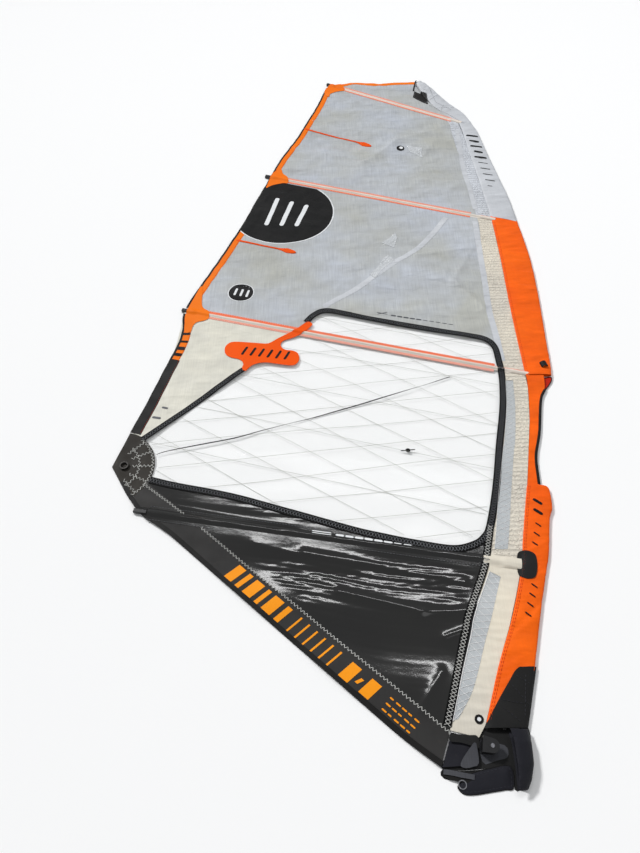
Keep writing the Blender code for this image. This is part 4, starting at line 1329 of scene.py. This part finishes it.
def scrim_lines():
    """Reinforcing threads, in three directions, cut to the window."""
    film_loop = arr(WINDOW_EDGE)
    found = {"middle_section": [], "window_section": []}
    for degrees, gap, shift in ((-32, 0.118, 0.03), (7, 0.095, 0.02), (-14, 0.190, 0.08)):
        a = math.radians(degrees)
        u, v = arr([math.cos(a), math.sin(a)]), arr([-math.sin(a), math.cos(a)])
        for k in range(-14, 15):
            middle = arr([-0.05, -0.62]) + v * (k * gap + shift)
            bow = 0.006 * math.sin(k * 1.7)
            t = np.arange(-1.0, 1.0, 0.012)
            run = middle + t[:, None] * u + (bow * np.sin(t * 4))[:, None] * v
            keep = inside(run, film_loop) & (away(run, film_loop, True) > 0.008)
            above = station(run, "middle")[1]
            for body, part in (("middle_section", keep & (above > 0.014)),
                               ("window_section", keep & (above < -0.014))):
                index = np.flatnonzero(part)
                if len(index) > 3:
                    for piece in np.split(index, np.flatnonzero(np.diff(index) > 1) + 1):
                        if len(piece) > 3:
                            found[body].append(thread(run[piece], relief, 0.7, 0.0006))
    for body, parts in found.items():
        ride(make("window_scrim_" + body.split("_")[0], *merged(parts), "window_thread"), body)


scrim_lines()

# A crease across the window film, drawn as a thin black strip of varying width: painted shade
# along the fold.
FOLD_LINE = smooth([(-0.690, -0.816), (-0.647, -0.800), (-0.429, -0.747), (-0.312, -0.706),
                    (-0.147, -0.653), (0.041, -0.588), (0.218, -0.524), (0.394, -0.453)], 0.008)
wide = 0.0024 * (0.25 + 0.75 * np.abs(np.sin(np.linspace(0.3, 7.0, len(FOLD_LINE)))))
made = make("window_fold", *ribbon(beside(FOLD_LINE, wide), beside(FOLD_LINE, -wide), relief,
                                   1.2, 0.0003, 3, 0.008), "print_black")
ride(made, "window_section")
printed("window_knot", [disc((0.204, -0.798), 0.0085, 20), bar((0.180, -0.800),
                                                               (0.228, -0.795), 0.004)],
        "window_section", "print_black", relief, 1.0, 0.006)


# ------------------------------------------------------------------ clew

rays = [arr(CLEW) + np.outer([0.072, 0.140], [math.cos(a), math.sin(a)])
        for a in np.radians([-46, -24, 2, 26, 46])]
turn = np.radians(np.linspace(-52, 52, 26))
arcs = [arr(CLEW) + radius * np.stack([np.cos(turn), np.sin(turn)], 1)
        for radius in (0.096, 0.143)]
ride(make("clew_stitch", *merged(zigzags(rays, 0.014, 0.0048, 1.6)
                                 + zigzags(arcs, 0.014, 0.0046, 1.6)), "stitch_light"),
     "window_section")
matt = [(-0.700, -0.934), (-0.640, -0.985), (-0.566, -1.049), (-0.640, -1.037),
        (-0.712, -1.026), (-0.750, -0.990)]
cloth_patch("foot_strip_corner", matt, "window_section", "foot_grey",
            relief, 1.0, 0.008)
for name, line, body in (("corner_stitch", [(-0.718, -0.934), (-0.562, -1.055)],
                          "window_section"), ("foot_stitch", FOOT_SEAM, "foot_section")):
    ride(make(name, *merged(zigzags([line], 0.013, 0.0046, 1.8)), "stitch_light"), body)


# ------------------------------------------------------------------ generic printed stripes

row_u = arr([0.7580, -0.6523])
row_v = arr([0.6523, 0.7580])


def slab(s, width, high=0.060, lean=0.010):
    """Slanted block of the printed row on the foot strip."""
    base = arr([-0.392, -1.248]) + row_u * s
    return arr([base - row_v * high / 2, base + row_u * width - row_v * high / 2,
                base + row_u * (width + lean) + row_v * high / 2,
                base + row_u * lean + row_v * high / 2])


blocks = [slab(0.000, 0.030), slab(0.046, 0.016), slab(0.078, 0.034), slab(0.128, 0.014),
          slab(0.158, 0.036), slab(0.210, 0.018)]
blocks += [slab(0.262 + k * 0.031, 0.006) for k in range(6)]
blocks += [slab(0.462, 0.034), slab(0.510, 0.010, 0.020), slab(0.534, 0.034)]
printed("foot_stripes", blocks, "foot_section", "print_amber", relief, 1.0, 0.012)
rows = []
for k in range(3):
    for j in range(5):
        begin = arr([0.088, -1.632]) + row_u * (0.021 * j) - row_v * (0.019 * k)
        rows.append(bar(begin, begin + row_u * (0.013 if (j + k) % 3 else 0.009), 0.0045, 2))
printed("foot_small_stripes", rows, "foot_section", "print_amber", relief, 1.0, 0.010)

dash = []
for k in range(8):
    begin = at_batten("lower", 0.672 + k * 0.0315, 0.012)
    dash.append(bar(begin, begin + arr([0.0215, -0.0034]), 0.0085 if k < 6 else 0.004, 2))
begin = at_batten("lower", 0.592, 0.016)
dash += [bar(begin, begin + arr([0.060, -0.009]), 0.0035, 2),
         bar(begin - arr([0, 0.008]), begin + arr([0.060, -0.017]), 0.0035, 2)]


def pocket_lower_top(p):
    """Top of the wider pocket of the lower batten."""
    t = station(p, "lower")[1]
    level = relief(p) + LEVEL
    return level + arch(t, 0.0170) * (0.0152 - level)


printed("pocket_dashes", dash, "lower", "print_white", pocket_lower_top, 1.2, 0.004)
small = [bar((0.190 + k * 0.026, -0.118 - k * 0.0057), (0.206 + k * 0.026, -0.1215 - k * 0.0057),
             0.0075 if k < 5 else 0.0032, 2) for k in range(10)]
small += [bar((0.130, -0.100), (0.172, -0.112), 0.003, 2), bar((0.132, -0.110),
                                                              (0.172, -0.100), 0.003, 2)]
printed("panel_dashes", small, "middle_section", "print_grey", relief, 1.0)
printed("leech_panel_marks", [bar((-0.700, -0.600), (-0.684, -0.604), 0.009, 3),
                              bar((-0.728, -0.648), (-0.704, -0.652), 0.010, 3)],
        "window_section", "print_grey", relief, 1.0)


def sleeve_bars(stations, width, thick, inner, outer):
    """Strokes across a sleeve at heights along it."""
    made = []
    for y, w, t in zip(stations, width, thick):
        a = np.interp(-y, -arr(inner)[:, 1], arr(inner)[:, 0])
        b = np.interp(-y, -arr(outer)[:, 1], arr(outer)[:, 0])
        middle = a + (b - a) * 0.50
        made.append(bar((middle - w / 2, y + 0.006), (middle + w / 2, y - 0.006), t, 3))
    return made


heights = [1.262 - 0.052 * k for k in range(10)]
upper_bars = sleeve_bars(heights, [0.052, 0.040, 0.052, 0.034, 0.052] + [0.044] * 5,
                         [0.013] * 5 + [0.0045] * 5, white_in, white_out)
printed("sleeve_stripes", upper_bars, "upper_section", "print_black", head_top, 0.8, 0.004)
lower_bars = [bar((0.612, -1.002), (0.632, -1.018), 0.010, 3),
              bar((0.606, -1.040), (0.626, -1.056), 0.010, 3)]
lower_bars += [bar((0.600 - 0.012 * k, -1.090 - 0.034 * k), (0.614 - 0.012 * k,
                                                          -1.102 - 0.034 * k), 0.0042, 2)
               for k in range(3)]
printed("lower_sleeve_stripes", lower_bars, "window_section", "print_black", lower_top, 0.8,
        0.004)
foot_bars = [bar((0.546 - 0.012 * k, -1.300 - 0.030 * k), (0.560 - 0.012 * k, -1.312 - 0.030 * k),
                 0.0042, 2) for k in range(4)]
printed("foot_sleeve_stripes", foot_bars, "foot_section", "print_black", lower_top, 0.8, 0.004)


# ------------------------------------------------------------------ sleeve trims

HEAVY = dict(radius=0.0007, on=0.007, off=0.004, half=WIDE_FOLD)
seam_line = smooth(orange_in, 0.006)
for index, gap in enumerate((0.004, 0.009)):
    sewn("sleeve_seam_upper_%d" % index, [kept(beside(seam_line, gap), "upper", None, 0.024)],
         "middle_section", "stitch_orange",
         lambda p: sleeve_top(p, orange_in, orange_out, SLEEVE_HALF) + 0.0006, **HEAVY)
lower_seam = smooth(LOWER_INNER, 0.006)
for index, gap in enumerate((0.004, 0.009)):
    sewn("sleeve_seam_lower_%d" % index, [beside(lower_seam, gap)], "lower", "stitch_orange",
         lower_top, 0.6, **HEAVY)

def level_at(z):
    """Height function that is the same everywhere."""
    return lambda p: np.full(len(p), z)

binding_line = smooth([(0.752, -0.512), (0.724, -0.568), (0.688, -0.718), (0.655, -0.824),
                       (0.643, -0.936)], 0.006)
made = make("cutout_binding", *tape(binding_line, -0.0035, 0.0060, level_at(0.0078), 1.0,
                                    0.0046, 3), "binding")
strip_sheet(made, binding_line, 0.010)
ride(made, "window_section")


def arched_strap(name, a, b, width, low, high, material, body, replaces=(), thick=0.0014):
    """Short strap that stands up in a loop between two points."""
    a, b = arr(a), arr(b)
    u = (b - a) / np.linalg.norm(b - a)
    side = arr([-u[1], u[0]]) * width / 2
    shells = []
    for inset in (0.0, thick):
        t = np.linspace(0, math.pi, 22)
        middle = (a + b) / 2 - np.outer(np.cos(t), u) * (np.linalg.norm(b - a) / 2 - inset)
        z = low + (high - low - inset) * np.sin(t) ** 0.7
        shells.append(np.stack([np.column_stack([middle + side * k, z])
                                for k in (-1, -0.4, 0.4, 1)], axis=1))
    n, m = shells[0].shape[:2]
    v = np.vstack([s.reshape(-1, 3) for s in shells])
    f = []
    for i in range(n - 1):
        for j in range(m - 1):
            p = i * m + j
            f.append((p, p + 1, p + 1 + m, p + m))
            q = p + n * m
            f.append((q, q + m, q + 1 + m, q + 1))
        for j, flip in ((0, False), (m - 1, True)):
            p = i * m + j
            quad = (p, p + m, p + m + n * m, p + n * m)
            f.append(quad[::-1] if flip else quad)
    for i, flip in ((0, True), (n - 1, False)):
        for j in range(m - 1):
            p = i * m + j
            quad = (p, p + 1, p + 1 + n * m, p + n * m)
            f.append(quad[::-1] if flip else quad)
    made = make(name, v, [quad[::-1] for quad in f], material, 40)
    if replaces:
        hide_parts(*replaces)
    return ride(made, body)


arched_strap("grab_loop_strap", (0.7558, -0.400), (0.7806, -0.394), 0.024, 0.0148, 0.0262,
             "binding", "middle_section", ("grab_loop",))

# Head: strap, reinforcement and stitching on the white sleeve
strap = [(0.449, 1.764), (0.514, 1.707), (0.514, 1.612), (0.434, 1.687)]
strap_top = draped(head_top, 0.008)
cloth_patch("head_strap_block", strap, "head_section", "binding", strap_top,
            1.4, 0.004, 0.0018, ["head_strap"])
thin = smooth([(0.466, 1.858), (0.452, 1.815), (0.444, 1.768)], 0.005)
made = make("head_strap_tail", *tape(thin, -0.004, 0.004, strap_top, 1.4, 0.0014), "binding")
ride(made, "head_section")
box_seam = closed(arr(strap) * 0.86 + arr(strap).mean(0) * 0.14)
sewn("head_strap_stitch", [box_seam], "head_section", "stitch_grey", strap_top, 2.2, **HEAVY)
sewn("head_sleeve_stitch",
     [[(0.520, 1.600), (0.632, 1.470), (0.700, 1.380)],
      [(0.530, 1.790), (0.560, 1.620), (0.640, 1.530)], [(0.556, 1.560), (0.660, 1.560)],
      [(0.580, 1.700), (0.520, 1.640)], [(0.600, 1.590), (0.580, 1.530)],
      [(0.545, 1.730), (0.500, 1.745)]],
     "head_section", "stitch_grey", head_top, 0.9, 0.0008, 0.008, 0.004)

# Lower end: black sleeve end, wear patch over the lower batten
def wrapped(name, inner, outer, top, middle, material, body):
    """Cloth on top of a sleeve, round its outer edge and back underneath."""
    count = max(4, int(max(length(inner), length(outer)) / 0.006) + 1)
    a, b = counted(inner, count), counted(outer, count)
    out = (b - a) / np.linalg.norm(b - a, axis=1)[:, None]
    columns = []
    for mix in (0, 0.08, 0.16, 0.26, 0.36, 0.48, 0.60, 0.72, 0.82, 0.90, 0.96):
        p = a + (b - a) * mix
        columns.append((p, top(p) + 0.0010))
    upper = [np.column_stack([p, z]) for p, z in columns]
    edge = [np.column_stack([b + out * 0.0022, np.full(count, middle + k)])
            for k in (0.0016, 0, -0.0016)]
    lower = [np.column_stack([p, np.maximum(2 * middle - z, 0.0002)])
             for p, z in columns[::-1]]
    rows = np.stack(upper + edge + lower, axis=1)
    made = make(name, *shell(rows, 0.0008), material, 60)
    (length(a) + length(b)) / 2
    return ride(made, body)


end_in = smooth([(0.462, -1.550), (0.448, -1.560), (0.425, -1.590), (0.390, -1.636),
                 (0.352, -1.690), (0.338, -1.711)], 0.006)
end_out = smooth([(0.5110, -1.548), (0.504, -1.570), (0.487, -1.620), (0.471, -1.668),
                  (0.456, -1.711)], 0.006)
wrapped("sleeve_end_tack", end_in, end_out, lower_top, 0.0079, "cover_black", "foot_section")
sewn("sleeve_end_stitch",
     [[(0.448, -1.574), (0.492, -1.600)], [(0.432, -1.600), (0.474, -1.655)],
      [(0.400, -1.640), (0.462, -1.650)], [(0.476, -1.572), (0.452, -1.690)],
      [(0.398, -1.660), (0.440, -1.696)]],
     "foot_section", "stitch_dark", lower_top, 3.0, **HEAVY)
wear = rounded([(0.526, -1.192), (0.576, -1.203), (0.562, -1.277), (0.514, -1.270)])
cloth_patch("wear_patch", wear, "lower", "cover_black", lower_top, 1.6,
            0.005, 0.0009, (), WIDE_FOLD)

# Open mouth of the upper sleeve at the boom cut-out: the back layer shows, with a dark rim; the
# back layer is a deep red, painted shade inside the sleeve
mouth = rounded([(0.746, -0.4600), (0.768, -0.4565), (0.788, -0.4530), (0.788, -0.467),
                 (0.776, -0.488), (0.758, -0.510), (0.744, -0.520), (0.738, -0.508),
                 (0.737, -0.475)])


def mouth_height(p):
    return 0.0030 + 0.0016 * step_up(p[:, 0], 0.742, 0.790)


cloth_patch("mouth_back", mouth, "window_section", "lip_red", mouth_height,
            0, 0.005, 0.0009)
rim = closed(mouth)
ride(make("mouth_rim", *thread(rim, mouth_height, 1.4, 0.0019), "binding"), "window_section")


# ------------------------------------------------------------------ foot of the sail

def tack_cloth(name, loop, z, material, body="foot_section", thickness=0.0009, wave=0.0004):
    """Flat webbing or cover cloth at the tack, at a given height."""
    return cloth_patch(name, rounded(loop), body, material,
                       lambda p: z + wave * ripples(p, 0.03, 70), 0, 0.005, thickness)


tack_cloth("tack_flap_lining", [(0.215, -1.8095), (0.262, -1.8137), (0.340, -1.8090),
                                (0.393, -1.8060), (0.394, -1.838), (0.340, -1.846),
                                (0.290, -1.842), (0.216, -1.831)], 0.0013, "cover_black",
           "cover_flap", 0.0007, wave=0.0001)
tack_cloth("tack_base", [(0.300, -1.722), (0.345, -1.708), (0.400, -1.712), (0.458, -1.705),
                         (0.460, -1.760), (0.448, -1.806), (0.420, -1.846), (0.411, -1.857),
                         (0.398, -1.857), (0.397, -1.806), (0.340, -1.8075),
                         (0.262, -1.8125), (0.214, -1.8080), (0.216, -1.796),
                         (0.262, -1.793), (0.290, -1.745)], 0.0016, "cover_black", wave=0.0002)
tack_cloth("tack_webbing", [(0.322, -1.742), (0.350, -1.745), (0.389, -1.752), (0.396, -1.766),
                            (0.390, -1.782), (0.362, -1.789), (0.330, -1.798), (0.322, -1.790)],
           0.0026, "webbing", wave=0.0001)
tack_cloth("tack_webbing_end", [(0.262, -1.803), (0.268, -1.788), (0.292, -1.760),
                                (0.306, -1.746), (0.311, -1.748), (0.311, -1.796),
                                (0.297, -1.804), (0.276, -1.808)], 0.0108, "webbing")
tack_cloth("tack_band", [(0.247, -1.722), (0.262, -1.7255), (0.290, -1.728), (0.317, -1.731),
                         (0.317, -1.760), (0.300, -1.755), (0.272, -1.747), (0.240, -1.742)],
           0.0106, "cover_black", thickness=0.0008)


def puffed(made, pressure=4.0, cap=0.004, frames=20, pinned=None):
    """Inflate a closed mesh a little with a cloth simulation, and keep the result."""
    mesh = made.data
    start = np.empty(len(mesh.vertices) * 3)
    mesh.vertices.foreach_get("co", start)
    cloth = made.modifiers.new("cloth", "CLOTH")
    cloth.settings.use_pressure = True
    cloth.settings.uniform_pressure_force = pressure
    cloth.settings.effector_weights.gravity = 0
    cloth.settings.quality = 6
    cloth.settings.mass = 0.15
    cloth.point_cache.frame_end = frames
    if pinned is not None:
        group = made.vertex_groups.new(name="pin")
        group.add([int(k) for k in pinned], 1.0, "REPLACE")
        cloth.settings.vertex_group_mass = "pin"
    scene = bpy.context.scene
    for frame_number in range(1, frames + 1):
        scene.frame_set(frame_number)
    graph = bpy.context.evaluated_depsgraph_get()
    shape = made.evaluated_get(graph).to_mesh()
    moved = np.empty(len(mesh.vertices) * 3)
    shape.vertices.foreach_get("co", moved)
    made.evaluated_get(graph).to_mesh_clear()
    made.modifiers.remove(cloth)
    shift = (moved - start).reshape(-1, 3)
    far = np.maximum(np.linalg.norm(shift, axis=1), 1e-9)
    shift *= np.minimum(1, cap / far)[:, None]
    scene.frame_set(1)
    grown = start.reshape(-1, 3) + shift
    grown[:, 2] = np.maximum(grown[:, 2], 0)
    mesh.vertices.foreach_set("co", grown.ravel())
    mesh.update()
    return made


def applied(made):
    """Replace a piece's mesh by what its modifiers make of it."""
    graph = bpy.context.evaluated_depsgraph_get()
    mesh = bpy.data.meshes.new_from_object(made.evaluated_get(graph))
    made.modifiers.clear()
    made.data = mesh
    return made


def remeshed(name, node, voxel, material):
    """Copy of a CAD node on an even grid, ready for the cloth simulation."""
    made = bpy.data.objects.new(name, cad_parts[node].data.copy())
    bpy.context.scene.collection.objects.link(made)
    modifier = made.modifiers.new("remesh", "REMESH")
    modifier.mode = "VOXEL"
    modifier.voxel_size = voxel
    mesh = applied(made).data
    mesh.materials.clear()
    mesh.materials.append(MATERIALS[material][0])
    mesh.polygons.foreach_set("use_smooth", [True] * len(mesh.polygons))
    return made


def subdivided(made):
    """One step of subdivision, kept in the mesh."""
    modifier = made.modifiers.new("smooth", "SUBSURF")
    modifier.levels = modifier.render_levels = 1
    return applied(made)


pad = puffed(remeshed("tack_cover_pad", "tack_cover", 0.0022, "navy"), 3.0, 0.0022)
subdivided(pad)
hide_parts("tack_cover")
ride(pad, "foot_section")

flap_loop = rounded([(0.395, -1.8030), (0.395, -1.8520), (0.372, -1.8570), (0.338, -1.8620),
                     (0.296, -1.8678), (0.266, -1.8672), (0.2505, -1.8540), (0.257, -1.8420),
                     (0.283, -1.8260), (0.292, -1.8190), (0.340, -1.8080)], 0.004)
v, f = patch(flap_loop, 0.0045, level_at(0.0032), 0, 0.0026)
rim_far = away(v[:, :2], flap_loop, True)
top = v[:, 2] > 0.002
crown = 1 - np.exp(-(rim_far / 0.010) ** 2)
v[:, 2] += np.where(top, 0.0030, 0) * crown * (1 + 0.25 * ripples(v[:, :2], 0.045, 90))
flap = make("tack_flap_pad", v, f, "navy", 80)
puffed(flap, 2.0, 0.0020, 15, np.flatnonzero((rim_far < 0.002) | ~top))
subdivided(flap)
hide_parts("cover_flap")
ride(flap, "cover_flap")

rim = closed(flap_loop)
ride(make("tack_flap_binding", *thread(rim, level_at(0.0022), 0, 0.0016), "binding"),
     "cover_flap")
sewn("tack_flap_stitch", [beside(spaced(rim, 0.004), -0.006)], "cover_flap", "stitch_dark",
     level_at(0.0044), 0, 0.0006, 0.006, 0.003)


def strap_loop(name, line, width, z, rise, material, body):
    """Narrow strap that arches a little along its line."""
    line = smooth(line, 0.004)
    far = np.linspace(0, 1, len(line))
    side = facing(np.gradient(line, axis=0))[1]
    rows = [np.column_stack([line + side * k * width,
                             z + rise * np.sin(math.pi * far) + 0.0004 * np.cos(far * 9 + k)])
            for k in (-0.5, -0.2, 0.2, 0.5)]
    made = make(name, *shell(np.stack(rows, 1), 0.0012), material, 40)
    strip_sheet(made, line, width)
    return ride(made, body)


strap_loop("flap_strap_low", [(0.290, -1.836), (0.262, -1.833), (0.236, -1.829),
                              (0.2155, -1.820)], 0.0135, 0.0050, 0.0010, "binding",
           "cover_flap")
strap_loop("flap_strap_high", [(0.2155, -1.816), (0.240, -1.819), (0.264, -1.824),
                               (0.296, -1.829)], 0.0125, 0.0078, 0.0014, "webbing",
           "cover_flap")


# ------------------------------------------------------------------ hardware

HARDWARE = {"tensioner_housing": "plastic", "tensioner_plug": "plastic_grey",
            "tensioner_screw": "steel", "batten": "glass_fibre"}
for key in BATTENS:
    for kind, finish in HARDWARE.items():
        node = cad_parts[kind + "_" + key]
        node.data.materials.clear()
        node.data.materials.append(MATERIALS[finish][0])
for name, finish in (("clew_ring", "dark_metal"), ("pulley_bracket", "plastic"),
                     ("pulley_pin", "steel"), ("pulley_roller_1", "plastic_grey"),
                     ("pulley_roller_2", "plastic_grey"), ("pulley_roller_3", "plastic_grey"),
                     ("head_cap", "plastic"), ("flap_ring", "steel")):
    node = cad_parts[name]
    node.data.materials.clear()
    node.data.materials.append(MATERIALS[finish][0])


# ------------------------------------------------------------------ camera, floor and light

def place_lamp(name, data, place, aim):
    lamp = bpy.data.objects.new(name, data)
    bpy.context.scene.collection.objects.link(lamp)
    lamp.location = place
    lamp.rotation_euler = (Vector(aim) - Vector(place)).to_track_quat("-Z", "Y").to_euler()


def look():
    """Camera, floor, world and lamps."""
    camera = bpy.data.objects.new("camera", bpy.data.cameras.new("camera"))
    bpy.context.scene.collection.objects.link(camera)
    camera.location = (-0.1098, -2.0712, 1.9059)
    camera.rotation_euler = (math.radians(36), 0, 0)
    camera.data.lens = 27.01
    camera.data.sensor_width = 36
    bpy.context.scene.camera = camera

    floor_mesh = bpy.data.meshes.new("floor")
    floor_mesh.from_pydata([(-40, -40, 0), (40, -40, 0), (40, 40, 0), (-40, 40, 0)], [],
                           [(0, 1, 2, 3)])
    floor = bpy.data.objects.new("floor", floor_mesh)
    bpy.context.scene.collection.objects.link(floor)
    paint = bpy.data.materials.new("floor_paint")
    paint.use_nodes = True
    shader = paint.node_tree.nodes["Principled BSDF"]
    shader.inputs["Base Color"].default_value = (0.94, 0.94, 0.94, 1)
    shader.inputs["Roughness"].default_value = 0.9
    shader.inputs["Specular IOR Level"].default_value = 0.1
    floor_mesh.materials.append(paint)

    world = bpy.data.worlds.new("studio")
    bpy.context.scene.world = world
    world.use_nodes = True
    world.node_tree.nodes["Background"].inputs["Color"].default_value = (0.96, 0.98, 1.0, 1)
    world.node_tree.nodes["Background"].inputs["Strength"].default_value = 0.33
    for name, towards, strength, angle in (("key", (-0.60, 0.55, 0.66), 2.45, 9),
                                           ("fill", (0.50, -0.60, 0.62), 0.28, 45)):
        data = bpy.data.lights.new(name, "SUN")
        data.energy, data.angle = strength, math.radians(angle)
        place_lamp(name, data, arr(towards) * 8, (0, 0, 0))
    data = bpy.data.lights.new("strip", "AREA")
    data.shape = "RECTANGLE"
    data.size, data.size_y, data.energy = 6.0, 0.7, 150
    place_lamp("strip", data, (0.9, 3.3, 8.0), (0.1, -1.3, 0))
    bpy.context.scene.view_settings.view_transform = "Standard"


look()
